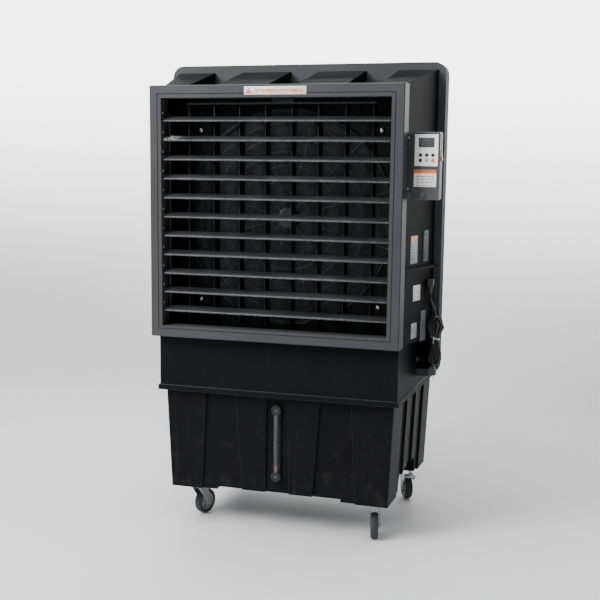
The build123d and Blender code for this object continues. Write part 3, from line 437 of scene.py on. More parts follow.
def make_tie():
    """A releasable strap around the hank, pulled up on one side, with its catch and tail."""
    shape = Shape()
    rings = []
    for step in range(48):
        angle = 2 * math.pi * step / 48
        c, s = math.cos(angle), math.sin(angle)
        centre = Vector((HANK.x, HANK.y, 0.7515)) + Vector((c * 0.0175, s * 0.0175, -c * 0.006))
        out = Vector((c, s, 0))
        ring = [centre + out * a + Vector((0, 0, b)) for a, b in
                ((-0.0006, -0.0035), (0.0006, -0.0035), (0.0008, 0), (0.0006, 0.0035), (-0.0006, 0.0035),
                 (-0.0008, 0))]
        rings.append(ring)
    shape.loft(rings + rings[:1], caps=False)
    shape.block((HANK.x - 0.006, HANK.y - 0.0225, 0.7475), (HANK.x + 0.002, HANK.y - 0.0165, 0.7565))
    shape.block((HANK.x - 0.004, HANK.y - 0.0245, 0.730), (HANK.x - 0.0005, HANK.y - 0.0225, 0.7515),
                edge=0.0004)
    return riding("cord_tie", shape.done("cord_tie", [TIE_GREY]), [])


plug = make_plug()
tie = make_tie()
tuple(at(526, 325, 925))


# ---------------------------------------------------------------- floor and light
# A pale floor that curves up into a bright backdrop, and soft light from above and from the left.
# They only show the cooler and are no part of it.
BACKDROP_GLOW = 4.5
WORLD_STRENGTH = 0.30


def make_floor():
    profile = [(-7.0, 0.0), (1.5, 0.0)]
    for step in range(1, 33):
        angle = math.pi / 2 * step / 32
        profile.append((1.5 + 4.5 * math.sin(angle), 4.5 - 4.5 * math.cos(angle)))
    shape = Shape()
    rings = [[Vector((x, y, z)) for x in (-12, 12)] for y, z in profile]
    shape.loft([ring + [point - Vector((0, 0, 0.02)) for point in reversed(ring)] for ring in rings])
    f = Finish("floor_pale")
    tone = f.blend(f.rise(f.noise(0.6, 3.0), 0.3, 0.7), (0.74, 0.74, 0.75), (0.80, 0.80, 0.81))
    pale = f.surface(Base_Color=tone, Roughness=0.55 + f.noise(14.0) * 0.1, Emission_Color=(1.0, 1.0, 1.0),
                     Emission_Strength=f.rise(f.z, 0.0, 2.6, 0.0, BACKDROP_GLOW),
                     Normal=f.bump(f.noise(180.0), 0.0002))
    floor = shown("floor", shape.done("floor", [pale]))


def make_light(name, place, towards, size, power, tint=(1, 1, 1)):
    data = bpy.data.lights.new(name, "AREA")
    data.shape = "RECTANGLE"
    data.size, data.size_y = size
    data.energy = power
    data.color = tint
    lamp = shown(name, data)
    lamp.location = place
    lamp.rotation_euler = (Vector(towards) - Vector(place)).to_track_quat("-Z", "Y").to_euler()


def make_world():
    world = bpy.data.worlds.new("world")
    world.use_nodes = True
    world.node_tree.nodes["Background"].inputs[0].default_value = (0.80, 0.81, 0.83, 1)
    world.node_tree.nodes["Background"].inputs[1].default_value = WORLD_STRENGTH
    scene.world = world


make_floor()
make_world()
make_light("key", (-2.4, -3.4, 3.6), (0, 0, 1.0), (2.0, 2.4), 330)
make_light("top", (-0.4, -0.6, 4.2), (0, 0, 1.0), (3.0, 3.0), 150)

# ---------------------------------------------------------------- water tank
# A rotomoulded black tank with upright channels in its walls and a passage from side to side.
# It carries the whole cabinet; its foot shows dried water marks and dust.
TANK_BLACK = moulded("tank_black", (0.004, 0.0042, 0.0048), 0.5, specular=0.07, grain=0.00025, dust=0.4,
                     splash=0.10, streak=0.2)
TANK_EDGE = edge_wear_and_highlight("tank_edge", (0.011, 0.0115, 0.0125), 0.4)


def worked(name, mesh, modifiers):
    """A mesh with modifiers worked into it."""
    holder = shown(name + "_work", mesh)
    for kind, settings in modifiers:
        modifier = holder.modifiers.new(kind, kind)
        for key, value in settings.items():
            setattr(modifier, key, value)
    graph = bpy.context.evaluated_depsgraph_get()
    made = bpy.data.meshes.new_from_object(holder.evaluated_get(graph), preserve_all_data_layers=True,
                                           depsgraph=graph)
    made.name = name
    bpy.data.objects.remove(holder)
    return made


def softened(name, node, width, finish, edge, body="cabinet", segments=3, paint=()):
    """A moulded piece from a CAD node: its corners rounded and rubbed, its flats flat.
    Paint gives (finish, test) pairs for faces with a finish of their own."""
    bm = bmesh.new()
    bm.from_mesh(frame["nodes"][node].data)
    bmesh.ops.remove_doubles(bm, verts=bm.verts, dist=0.00002)
    bmesh.ops.dissolve_limit(bm, angle_limit=math.radians(0.5), verts=bm.verts, edges=bm.edges)
    mesh = bpy.data.meshes.new(name)
    bm.to_mesh(mesh)
    bm.free()
    mesh.materials.clear()
    for material in [finish, edge] + [pair[0] for pair in paint]:
        mesh.materials.append(material)
    for polygon in mesh.polygons:
        polygon.material_index = 0
        for number, pair in enumerate(paint):
            if pair[1](polygon.center, polygon.normal):
                polygon.material_index = number + 2
    mesh.shade_smooth()
    bevel = {"width": width, "segments": segments, "limit_method": "ANGLE", "angle_limit": math.radians(28),
             "material": 1, "use_clamp_overlap": True, "miter_outer": "MITER_ARC"}
    made = worked(name, mesh, [("BEVEL", bevel), ("WEIGHTED_NORMAL", {"keep_sharp": True, "weight": 80})])
    return riding(name, made, [], body, (node,))


softened("tank_shell", "tank", 0.004, TANK_BLACK, TANK_EDGE)


# ---------------------------------------------------------------- water level gauge
# A clear tube between two round threaded bosses in the middle channel, with an orange float inside.
# The tube clips into a grey back strip.
GAUGE_GREY = moulded("gauge_grey", (0.022, 0.023, 0.025), 0.35, dust=0.3)
f = Finish("gauge_clear")
GAUGE_CLEAR = f.surface(Base_Color=f.blend(f.rise(f.noise(40.0, 4.0, stretch=(1, 1, 0.2)), 0.4, 0.8),
                                           (0.10, 0.105, 0.11), (0.06, 0.063, 0.065)),
                        Roughness=0.12 + f.noise(120.0) * 0.1, Alpha=0.34 + f.noise(30.0, 4.0) * 0.12,
                        IOR=1.49, Normal=f.bump(f.noise(60.0), 0.0001))
FLOAT_ORANGE = moulded("float_orange", (0.62, 0.16, 0.03), 0.4, dust=0.1)
CAP_GREY = moulded("cap_grey", (0.06, 0.062, 0.065), 0.35, dust=0.3)


def make_gauge():
    low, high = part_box("level_gauge")
    x, front, back = (low.x + high.x) / 2, low.y, high.y
    middle = (front + back) / 2
    body = Shape()
    for z in (low.z + 0.020, high.z - 0.020):
        body.lathe(((0.0195, 0), (0.020, -0.001), (0.020, -0.009), (0.0185, -0.010), (0.0185, -0.0165),
                    (0.0175, -0.018),
                    (0.011, -0.018), (0.010, -0.0165), (0.0, -0.0165)), (x, back, z), (0, 1, 0))
        for k in range(10):
            angle = 2 * math.pi * k / 10
            spot = Vector((x + math.cos(angle) * 0.0188, 0, z + math.sin(angle) * 0.0188))
            body.rod((spot.x, back - 0.0005, spot.z), (spot.x, back - 0.0095, spot.z), 0.0016, 0, 8)
        body.lathe(((0.0065, 0), (0.0065, -0.0008), (0.0, -0.0008)), (x, back - 0.0165, z), (0, 1, 0), 1, 24)
    body.block((x - 0.014, back - 0.003, low.z + 0.020), (x + 0.014, back, high.z - 0.020))
    for z in (0.29, 0.35, 0.41):
        body.block((x - 0.0125, middle, z - 0.004), (x - 0.0095, back, z + 0.004))
        body.block((x + 0.0095, middle, z - 0.004), (x + 0.0125, back, z + 0.004))
    riding("gauge_body", body.done("gauge_body", [GAUGE_GREY, CAP_GREY]), [], "cabinet",
           ("level_gauge",))
    tube = Shape()
    for radius in (0.009, 0.0074):
        tube.lathe(((radius, low.z + 0.036), (radius, high.z - 0.036)), (x, middle, 0), (0, 0, 1), 0, 32)
    riding("gauge_tube", tube.done("gauge_tube", [GAUGE_CLEAR]), [])


make_gauge()


def carry(finish, *nodes):
    """Gives CAD nodes that keep their shape a finish."""
    for node in nodes:
        mesh = frame["nodes"][node].data
        mesh.materials.clear()
        mesh.materials.append(finish)


carry(FLOAT_ORANGE, "gauge_float")

# ---------------------------------------------------------------- lower housing
# The moulded collar that caps the tank and carries the outlet and the pad bay.
# Satin black plastic with a folded lip over the tank's rim.
BODY_BLACK = moulded("body_black", (0.006, 0.0063, 0.0071), 0.5, specular=0.04, grain=0.0001, dust=0.3,
                     streak=0.15)
BODY_EDGE = edge_wear_and_highlight("body_edge", (0.010, 0.0105, 0.0115), 0.42)
softened("lower_housing_shell", "lower_housing", 0.0022, BODY_BLACK, BODY_EDGE)

# ---------------------------------------------------------------- cabinet shell
# The flared body between the outlet and the pad bay, with stiffening ridges over its sloping top
# and a ledge along each side.  Labels and moulded hand strips are on the right side.
softened("cabinet_skin", "cabinet_shell", 0.003, BODY_BLACK, BODY_EDGE)
STRIP_GREY = moulded("strip_grey", (0.11, 0.115, 0.12), 0.4, dust=0.25)


def label(name, low, high, paper, ink, bar=None, rows=7, axis="y"):
    """A printed label: a coloured bar along its top and rows of small dark marks."""
    f = Finish(name)
    along = f.y if axis == "y" else f.x
    start, end = (low[1], high[1]) if axis == "y" else (low[0], high[0])
    across = (along - start) * (1 / (end - start))
    up = (f.z - low[2]) * (1 / (high[2] - low[2]))
    marks = f.rise(f.noise(1.0, 1.0, stretch=(900, 900, 60)), 0.46, 0.5)
    band = f.maths("FRACT", up * rows, 0.0)
    text = printed(across, up, 0.1, 0.9, 0.06, 0.72) * (band > 0.35) * (band < 0.72) * marks
    tone = f.blend(text, paper, ink)
    if bar:
        tone = f.blend(printed(across, up, 0.0, 1.0, 0.79, 1.0), tone, bar)
    aged = f.rise(f.noise(60.0, 5.0), 0.4, 0.85) * 0.18
    return f.surface(Base_Color=f.blend(aged, tone, (0.25, 0.23, 0.2)), Roughness=0.32 + aged,
                     Normal=f.bump(f.noise(200.0), 0.00005))


def wall_x(y):
    """Outer half width of the flared right side wall at a depth."""
    return 456 + (y - 70) / 306 * 68


def side_plate(name, y0, y1, z0, z1, proud, finish, edge=0.0003):
    """A thin plate that lies on the flared right side wall."""
    rings = []
    for height in (0.0, proud):
        ring = []
        for y, z in ((y0, z0), (y1, z0), (y1, z1), (y0, z1)):
            ring.append(at(wall_x(y) + 0.15 + height, y, z))
        rings.append(ring)
    shape = Shape()
    shape.loft(rings)
    bmesh.ops.bevel(shape.bm, geom=list(shape.bm.edges), offset=edge, segments=2, profile=0.5, affect="EDGES")
    return riding(name, shape.done(name, [finish]), [])


def make_side_labels():
    grey, white, dark = (0.34, 0.35, 0.36), (0.78, 0.78, 0.76), (0.05, 0.05, 0.055)
    for name, y0, y1, z0, z1, paper, bar, rows in (
            ("side_label_upper", 168, 228, 1044, 1146, grey, (0.75, 0.24, 0.06), 9),
            ("side_label_middle", 200, 262, 904, 962, white, None, 6),
            ("side_label_lower", 190, 238, 764, 822, grey, None, 6)):
        low, high = at(0, y0, z0), at(0, y1, z1)
        finish = label(name + "_print", low, high, paper, dark, bar, rows)
        side_plate(name, y0, y1, z0, z1, 0.5, finish)
    for k, (y0, y1, z0, z1) in enumerate(((274, 318, 1045, 1162), (268, 312, 746, 862))):
        side_plate("grip_strip_%d" % (k + 1), y0, y1, z0, z1, 4.0, STRIP_GREY, edge=0.0015)
        for rib in range(5):
            z = z0 + 14 + rib * (z1 - z0 - 28) / 4
            side_plate("grip_strip_%d_rib_%d" % (k + 1, rib + 1), y0 + 5, y1 - 5, z - 2.5, z + 2.5, 6.0,
                       STRIP_GREY, edge=0.0008)


make_side_labels()

# ---------------------------------------------------------------- pad bay and its rim
# The deep frame at the back that holds the wet pad; its rounded rim stands out all around.
# The same satin black plastic; its faces that look to the front are painted grey, as painted light from the
# front.
# Painted light: a lighter grey on the front-facing faces stands in for light from the front, and the faces
# turned away stay black.
RIM_FRONT_PAINTED_LIGHT = moulded("rim_front_painted_light", (0.048, 0.0495, 0.053), 0.42, grain=0.00015, dust=0.3, streak=0.15)
RIM_EDGE = edge_wear_and_highlight("rim_edge", (0.05, 0.052, 0.056), 0.32)
# The faces that look to the front take the painted-light grey.
softened("rear_frame", "rear_housing", 0.002, BODY_BLACK, RIM_EDGE,
         paint=((RIM_FRONT_PAINTED_LIGHT, lambda c, n: n.y < -0.5 and c.y < at(0, 382, 0).y),))

# ---------------------------------------------------------------- outlet frame
# The picture-frame surround of the louvres: satin grey plastic with a fine groove all around,
# two fixing screws in its top bar and a warning strip without words.
FRAME_GREY = moulded("frame_grey", (0.048, 0.050, 0.054), 0.38, grain=0.00012, dust=0.25, streak=0.12)
FRAME_EDGE = edge_wear_and_highlight("frame_edge", (0.065, 0.068, 0.074), 0.28)
BRIGHT_PIN = metal("bright_pin", (0.62, 0.63, 0.64), 0.3)
ZINC = metal("zinc", (0.52, 0.53, 0.54), 0.36, spangle=0.5, rust=0.35)
SCREW_DARK = metal("screw_dark", (0.10, 0.10, 0.105), 0.45)
softened("outlet_surround", "outlet_frame", 0.0016, FRAME_GREY, FRAME_EDGE)


class Grower:
    """A geometry tree with named inputs, for what repeats."""

    def __init__(self, name, inputs):
        self.tree = bpy.data.node_groups.new(name, "GeometryNodeTree")
        self.tree.interface.new_socket("Geometry", in_out="OUTPUT", socket_type="NodeSocketGeometry")
        self.keys = {}
        for label_text, kind in inputs:
            made = self.tree.interface.new_socket(label_text, in_out="INPUT", socket_type="NodeSocket" + kind)
            self.keys[label_text] = made.identifier
        self.entry = self.tree.nodes.new("NodeGroupInput")

    def given(self, label_text):
        return self.entry.outputs[label_text]

    def node(self, kind, settings=None, inputs=None, output=0):
        """A node; its inputs are linked to sockets or set to values."""
        made = self.tree.nodes.new(kind)
        for key, value in (settings or {}).items():
            setattr(made, key, value)
        for key, value in (inputs or {}).items():
            if isinstance(value, bpy.types.NodeSocket):
                self.tree.links.new(value, made.inputs[key])
            else:
                made.inputs[key].default_value = value
        return made.outputs[output]

    def grow(self, name, geometry, finish, values, base=None):
        """Realizes the instances, sets the finish and gives one plain mesh."""
        real = self.node("GeometryNodeRealizeInstances", {}, {0: geometry})
        dressed = self.node("GeometryNodeSetMaterial", {}, {0: real, 2: finish})
        end = self.tree.nodes.new("NodeGroupOutput")
        self.tree.links.new(dressed, end.inputs[0])
        holder = shown(name + "_work", base or bpy.data.meshes.new(name + "_base"))
        modifier = holder.modifiers.new("grow", "NODES")
        modifier.node_group = self.tree
        for label_text, value in values.items():
            modifier[self.keys[label_text]] = value
        graph = bpy.context.evaluated_depsgraph_get()
        made = bpy.data.meshes.new_from_object(holder.evaluated_get(graph), preserve_all_data_layers=True,
                                               depsgraph=graph)
        made.name = name
        bpy.data.objects.remove(holder)
        if not made.materials:
            made.materials.append(finish)
        return made


def screw_head():
    """A domed screw head about Z, 1 unit in radius, with a cross recess cut as four flats."""
    shape = Shape()
    profile = ((1.0, 0.0), (1.0, 0.12), (0.92, 0.30), (0.70, 0.46), (0.42, 0.54), (0.16, 0.56), (0.0, 0.40))
    shape.lathe(profile, (0, 0, 0), (0, 0, 1), 0, 24)
    for turn in (0.0, math.pi / 2):
        shape.block((-0.5, -0.085, 0.47), (0.5, 0.085, 0.575), 0, 0.02, Matrix.Rotation(turn, 4, "Z"))
    return shown("screw_head", shape.done("screw_head"))


def screws(name, places, radius, towards, finish, body="cabinet"):
    """Screw heads of one size at given places, each turned at random about its own axis."""
    head = screw_head()
    g = Grower(name + "_tree", (("Head", "Object"), ("Radius", "Float"), ("Facing", "Vector"),
                                ("Seed", "Int")))
    points = g.node("GeometryNodePoints", {}, {"Count": len(places)})
    index = g.node("GeometryNodeInputIndex")
    switch = g.tree.nodes.new("GeometryNodeIndexSwitch")
    switch.data_type = "VECTOR"
    while len(switch.index_switch_items) < len(places):
        switch.index_switch_items.new()
    while len(switch.index_switch_items) > len(places):
        switch.index_switch_items.remove(switch.index_switch_items[-1])
    g.tree.links.new(index, switch.inputs[0])
    for number, place in enumerate(places):
        switch.inputs[number + 1].default_value = place
    placed = g.node("GeometryNodeSetPosition", {}, {0: points, "Position": switch.outputs[0]})
    aligned = g.node("FunctionNodeAlignRotationToVector", {"axis": "Z"}, {"Vector": g.given("Facing")})
    spin = g.node("FunctionNodeRandomValue", {"data_type": "FLOAT"},
                  {2: 0.0, 3: 6.283, "Seed": g.given("Seed")}, 1)
    turn = g.node("ShaderNodeCombineXYZ", {}, {2: spin})
    turned = g.node("FunctionNodeRotateRotation", {"rotation_space": "LOCAL"}, {0: aligned, 1: turn})
    shape = g.node("GeometryNodeObjectInfo", {}, {0: g.given("Head")}, "Geometry")
    spread = g.node("GeometryNodeInstanceOnPoints", {},
                    {"Points": placed, "Instance": shape, "Rotation": turned,
                                                         "Scale": g.given("Radius")})
    mesh = g.grow(name, spread, finish, {"Head": head, "Radius": radius, "Facing": towards, "Seed": 7})
    bpy.data.objects.remove(head)
    return riding(name, mesh, [finish], body)


screws("surround_screws", [at(-248, -0.2, 1670), at(255, -0.2, 1671)],
       0.003, (0, -1, 0), SCREW_DARK)


def joint_place(name):
    """Where a joint of the model lies, and its axis."""
    found = [joint for joint in frame["joints"] if joint["name"] == name][0]
    return Vector(found["pos_m"]), Vector(found["axis"])


def make_side_pins():
    """Bright rivets in the inner walls of the surround, one above each louvre's bearing."""
    shape = Shape()
    for number in range(11):
        place, _ = joint_place("louvre_%02d_tilt" % (number + 1))
        for side in (-1, 1):
            wall = MID + side * 0.434
            shape.lathe(((0.0042, 0), (0.0042, 0.0012), (0.003, 0.0024), (0.0, 0.0028)),
                        (wall, place.y - 0.012, place.z + 0.021), (-side, 0, 0), 0, 16)
            shape.lathe(((0.0065, 0), (0.0065, 0.0008), (0.0035, 0.0016), (0.0035, 0.0018)),
                        (wall, place.y, place.z), (-side, 0, 0), 1, 20)
    riding("surround_pins", shape.done("surround_pins", [BRIGHT_PIN, STRIP_GREY]), [])


make_side_pins()


def make_warning_strip():
    """A white strip under the top edge of the surround: an orange triangle and an orange line of blocks."""
    low, high = at(-107, 0, 1643), at(126, 0, 1672)
    f = Finish("warning_print")
    across = (f.x - low.x) * (1 / (high.x - low.x))
    up = (f.z - low.z) * (1 / (high.z - low.z))
    white, orange = (0.72, 0.71, 0.69), (0.70, 0.16, 0.04)
    slope = f.maths("ABSOLUTE", across * 8.0 - 0.62, 0.0)
    sign = (up > 0.14) * (up < 0.86) * ((slope + up * 0.55) < 0.50)
    blocks = f.rise(f.noise(1.0, 1.0, stretch=(420, 1, 110)), 0.44, 0.5)
    line = printed(across, up, 0.18, 0.95, 0.30, 0.70) * blocks
    tone = f.blend(f.maths("MINIMUM", sign + line, 1.0), white, orange)
    aged = f.rise(f.noise(30.0, 5.0), 0.4, 0.85) * 0.15
    paper = f.surface(Base_Color=f.blend(aged, tone, DUST), Roughness=0.35 + aged,
                      Normal=f.bump(f.noise(150.0), 0.00005))
    shape = Shape()
    shape.block((low.x, FACE - 0.0007, low.z), (high.x, FACE - 0.0001, high.z), edge=0.0002)
    riding("warning_strip", shape.done("warning_strip", [paper]), [])


make_warning_strip()


# ---------------------------------------------------------------- louvres and their link
# Eleven aerofoil blades on moulded pins, all tilted together by one flat bar at their left end.
# Their tops hold dust, and the second from the top has been rubbed pale at its left end.
def louvre_finish():
    f = Finish("louvre_dark")
    cloud = f.noise(7.0, 5.0, stretch=(1, 3, 3))
    lines = f.noise(30.0, 4.0, stretch=(0.15, 6, 6), shift=3.0)
    settled = f.rise(f.up, 0.1, 0.8) * f.rise(cloud, 0.25, 0.8) * 0.05
    pale = f.rise(f.x, MID - 0.34, MID - 0.425) * f.rise(f.z, 1.475, 1.485) * f.rise(f.z, 1.512, 1.505)
    rubbed = pale * f.rise(f.noise(90.0, 6.0, shift=8.0), 0.42, 0.6) * 0.8
    tone = f.blend(f.rise(lines, 0.35, 0.7), (0.009, 0.0095, 0.0105), (0.016, 0.0165, 0.018))
    dirt = f.maths("MINIMUM", settled + rubbed, 0.95)
    return f.surface(Base_Color=f.blend(dirt, tone, (0.42, 0.42, 0.41)),
                     Roughness=0.34 + lines * 0.12 + dirt * 0.4, Normal=f.bump(f.noise(600.0), 0.0001))


LOUVRE_DARK = louvre_finish()
# Painted highlight: a paler finish on each blade's front nose stands in for the light caught along it.
LOUVRE_NOSE_HIGHLIGHT = edge_wear_and_highlight("louvre_edge", (0.05, 0.052, 0.056), 0.32)
AEROFOIL = ((-21.0, -0.6), (-20.6, 1.1), (-18.5, 2.3), (-14.0, 3.2), (-6.0, 3.5), (4.0, 3.2), (12.0, 2.5),
            (18.5, 1.6),
            (21.0, 0.7), (21.0, -0.7), (18.5, -1.2), (12.0, -1.7), (4.0, -2.3), (-6.0, -2.9), (-14.0, -3.4),
            (-18.0, -3.5), (-20.4, -3.0))


LOUVRE_TILT = math.radians(24)


def make_louvre(number):
    """One blade in its tilted rest place: rounded nose, thin tail, end ribs, pins and its link lug."""
    name = "louvre_%02d" % number
    pivot, _ = joint_place(name + "_tilt")
    tilt = LOUVRE_TILT

    def local(x, y, z):
        return Vector((MID + x / 1000, pivot.y + (y * math.cos(tilt) - z * math.sin(tilt)) / 1000,
                       pivot.z + (y * math.sin(tilt) + z * math.cos(tilt)) / 1000))

    shape = Shape()
    rings = []
    for x, share, clip in ((-431, 0.8, 99), (-430, 1, 99), (-426.4, 1, 99), (-426.2, 1, 10.5),
                           (-418.9, 1, 10.5),
                           (-418.7, 1, 99), (-200, 1, 99), (0, 1, 99),
                           (200, 1, 99), (430, 1, 99), (431, 0.8, 99)):
        rings.append([local(x, min(y * share, clip), z * share) for y, z in AEROFOIL])
    shape.loft(rings)
    for x in (-290, -145, 0, 145, 290):
        rib = [[local(x + dx, y * 0.93, z * 0.9 - 0.8) for y, z in AEROFOIL[8:]] for dx in (-0.8, 0.8)]
        shape.loft(rib)
    for side in (-1, 1):
        shape.rod(local(side * 427, 0, 0), local(side * 440, 0, 0), 0.003, 0, 16)
        shape.rod(local(side * 429.5, 0, 0), local(side * 432.2, 0, 0), 0.0048, 0, 20)
    shape.block((-0.4185, 0.0, -0.0042), (-0.4147, 0.0302, 0.0042), 0, 0.001,
                Matrix.Translation(local(0, 0, 0)) @ Matrix.Rotation(tilt, 4, "X"))
    shape.rod(local(-415.5, 26, 0), local(-424.8, 26, 0), 0.002, 0, 12)
    # The faces of the front nose take the second finish, which is the painted highlight.
    for face in shape.bm.faces:
        middle = face.calc_center_median()
        ahead = (middle.y - pivot.y) * math.cos(tilt) + (middle.z - pivot.z) * math.sin(tilt)
        if ahead < -0.0195:
            face.material_index = 1
    riding(name + "_blade", shape.done(name + "_blade", [LOUVRE_DARK, LOUVRE_NOSE_HIGHLIGHT], 50),
           [], name, (name,))


for louvre in range(1, 12):
    make_louvre(louvre)
LINK_GREY = moulded("link_grey", (0.05, 0.052, 0.056), 0.4, dust=0.4)
softened("louvre_link_bar", "louvre_link", 0.0006, LINK_GREY, FRAME_EDGE, "louvre_link", 2)


# ---------------------------------------------------------------- upright vanes and their link
# Eight thin upright vanes behind the louvres swing from side to side on two rails.
# A flat bar under the top rail ties them to the swing motor.
VANE_DARK = moulded("vane_dark", (0.012, 0.0125, 0.014), 0.42, dust=0.3, streak=0.25)
VANE_EDGE = edge_wear_and_highlight("vane_edge", (0.05, 0.052, 0.056), 0.34)


def make_vane(number):
    """One vane: thickest at its pivot, with rounded edges, two stiffening beads, pins and a crank pin."""
    name = "vane_%d" % number
    pivot, _ = joint_place(name + "_swing")
    outline = ((-28, 0.5), (-26, 0.9), (-14, 1.2), (0, 1.5), (14, 1.2), (26, 0.9), (28, 0.5),
               (28, -0.5), (26, -0.9), (14, -1.2), (0, -1.5), (-14, -1.2), (-26, -0.9), (-28, -0.5))
    shape = Shape()
    rings = []
    for z, share in ((800, 0.93), (803, 1), (1000, 1), (1206, 1), (1412, 1), (1609, 1), (1612, 0.93)):
        rings.append([Vector((pivot.x + x / 1000, pivot.y + y * share / 1000, z / 1000)) for y, x in outline])
    shape.loft(rings)
    for low, high in ((772, 812), (1600, 1653)):
        shape.rod((pivot.x, pivot.y, low / 1000), (pivot.x, pivot.y, high / 1000), 0.003, 0, 16)
    shape.rod((pivot.x, pivot.y - 0.022, 1.603), (pivot.x, pivot.y - 0.022, 1.621), 0.002, 0, 12)
    for z in (790, 1624):
        shape.lathe(((0.003, 0), (0.0048, 0.0005), (0.0048, 0.005), (0.003, 0.0055)),
                    (pivot.x, pivot.y, z / 1000), (0, 0, 1), 0, 20)
    for face in shape.bm.faces:
        if face.calc_center_median().y < pivot.y - 0.0255:
            face.material_index = 1
    riding(name + "_blade", shape.done(name + "_blade", [VANE_DARK, VANE_EDGE], 50), [],
           name, (name,))


for vane in range(1, 9):
    make_vane(vane)
softened("vane_link_bar", "vane_link", 0.0006, VANE_EDGE, VANE_EDGE, "vane_link", 2)

# ---------------------------------------------------------------- swing motor
# A small synchronous gear motor on a bent steel bracket behind the top rail.
# Three screws hold it, and it drives the vane link.
MOTOR_DARK = metal("motor_dark", (0.10, 0.10, 0.105), 0.45, brushed=(1, 1, 8), rust=0.2)
softened("swing_drive", "swing_motor", 0.0008, MOTOR_DARK, ZINC, segments=2)
screws("swing_screws", [at(-26, 119.0, 1646), at(0, 119.0, 1646), at(26, 119.0, 1646)], 0.0042, (0, -1, 0),
       BRIGHT_PIN)

# ---------------------------------------------------------------- fan shroud
# A flat moulded wall with a round duct that has a rolled lip in front.
# Four hexagon bolts hold it to the cabinet.
SHROUD_BLACK = moulded("shroud_black", (0.007, 0.0073, 0.008), 0.5, dust=0.3, streak=0.4)
softened("shroud_wall", "fan_shroud", 0.0012, SHROUD_BLACK, BODY_EDGE, segments=2)
fan_place, _ = joint_place("fan_spin")


def make_shroud_lip():
    shape = Shape()
    front = FACE + 0.2
    profile = [(0.3925 + 0.008 - 0.008 * math.cos(a),
                -0.006 * math.sin(a)) for a in [math.pi * k / 10 for k in range(11)]]
    inner = [(radius, along + 0.0004) for radius, along in reversed(profile)]
    shape.lathe(profile + inner, (fan_place.x, front, fan_place.z), (0, 1, 0), 0, 128)
    riding("shroud_lip", shape.done("shroud_lip", [BODY_EDGE]), [])


make_shroud_lip()
screws("shroud_bolts", [at(x, 193.9, 1200 + z) for x in (-355, 355) for z in (-325, 325)], 0.0095, (0, -1, 0),
       BRIGHT_PIN)


# ---------------------------------------------------------------- fan guard
# Welded rings and spokes of round galvanised wire in front of the fan, bent back to four feet.
# The wires are drawn thinner than their clearance space.
def grow_guard():
    g = Grower("guard_tree", (("Rings", "Int"), ("Spokes", "Int"), ("Hub", "Float"), ("Outer", "Float"),
                              ("Wire", "Float")))
    width = g.node("ShaderNodeMath", {"operation": "SUBTRACT"}, {0: g.given("Outer"), 1: g.given("Hub")})
    pitch = g.node("ShaderNodeMath", {"operation": "DIVIDE"}, {0: width, 1: g.given("Rings")})
    count = g.node("ShaderNodeMath", {"operation": "ADD"}, {0: g.given("Rings"), 1: 1.0})
    index = g.node("GeometryNodeInputIndex")
    size = g.node("ShaderNodeMath", {"operation": "MULTIPLY_ADD"}, {0: index, 1: pitch, 2: g.given("Hub")})
    centres = g.node("GeometryNodePoints", {}, {"Count": count})
    circle = g.node("GeometryNodeCurvePrimitiveCircle", {}, {"Resolution": 96, "Radius": 1.0})
    rings = g.node("GeometryNodeInstanceOnPoints", {}, {"Points": centres, "Instance": circle, "Scale": size})
    spokes_at = g.node("GeometryNodePoints", {}, {"Count": g.given("Spokes")})
    share = g.node("ShaderNodeMath", {"operation": "DIVIDE"}, {0: 2 * math.pi, 1: g.given("Spokes")})
    angle = g.node("ShaderNodeMath", {"operation": "MULTIPLY_ADD"}, {0: index, 1: share, 2: math.radians(15)})
    turn = g.node("ShaderNodeCombineXYZ", {}, {2: angle})
    inner = g.node("ShaderNodeCombineXYZ", {}, {0: g.given("Hub"), 2: -0.0025})
    outer = g.node("ShaderNodeCombineXYZ", {}, {0: g.given("Outer"), 2: -0.0025})
    line = g.node("GeometryNodeCurvePrimitiveLine", {}, {"Start": inner, "End": outer})
    spokes = g.node("GeometryNodeInstanceOnPoints", {},
                    {"Points": spokes_at, "Instance": line, "Rotation": turn})
    both = g.tree.nodes.new("GeometryNodeJoinGeometry")
    g.tree.links.new(rings, both.inputs[0])
    g.tree.links.new(spokes, both.inputs[0])
    real = g.node("GeometryNodeRealizeInstances", {}, {0: both.outputs[0]})
    section = g.node("GeometryNodeCurvePrimitiveCircle", {}, {"Resolution": 8, "Radius": g.given("Wire")})
    wires = g.node("GeometryNodeCurveToMesh", {}, {"Curve": real, "Profile Curve": section})
    placed = g.node("GeometryNodeTransform", {}, {0: wires,
                                                  "Translation": (fan_place.x, FACE + 0.1815, fan_place.z),
                                                  "Rotation": (math.pi / 2, 0, 0)})
    values = {"Rings": 7, "Spokes": 12, "Hub": 0.038, "Outer": 0.404, "Wire": 0.0014}
    return g.grow("guard_wires", placed, GUARD_WIRE, values)


GUARD_WIRE = metal("guard_wire", (0.11, 0.113, 0.118), 0.5, spangle=0.3, rust=0.25)
riding("guard_wires", grow_guard(), [GUARD_WIRE], "cabinet", ("fan_guard",))


def about_fan(angle, y=0.0):
    """A turn about the fan's axis, from a point on it."""
    return Matrix.Translation((fan_place.x, y, fan_place.z)) @ Matrix.Rotation(angle, 4, "Y")


def make_guard_feet():
    """The round badge plate in the middle and four clips that hold the outer ring."""
    shape = Shape()
    shape.lathe(((0.0, 0.0), (0.028, 0.0002), (0.036, 0.0012), (0.038, 0.003), (0.038, 0.0045),
                 (0.0, 0.0045)),
                (fan_place.x, FACE + 0.1795, fan_place.z), (0, 1, 0), 0, 48)
    for k in range(4):
        angle = math.radians(90 * k + 45)
        turn = about_fan(-angle)
        shape.block((0.399, FACE + 0.181, -0.006), (0.405, FACE + 0.1995, 0.006), 0, 0.0008, turn)
        shape.block((0.399, FACE + 0.1975, -0.008), (0.420, FACE + 0.1997, 0.008), 0, 0.0008, turn)
    riding("guard_feet", shape.done("guard_feet", [GUARD_WIRE]), [])


make_guard_feet()

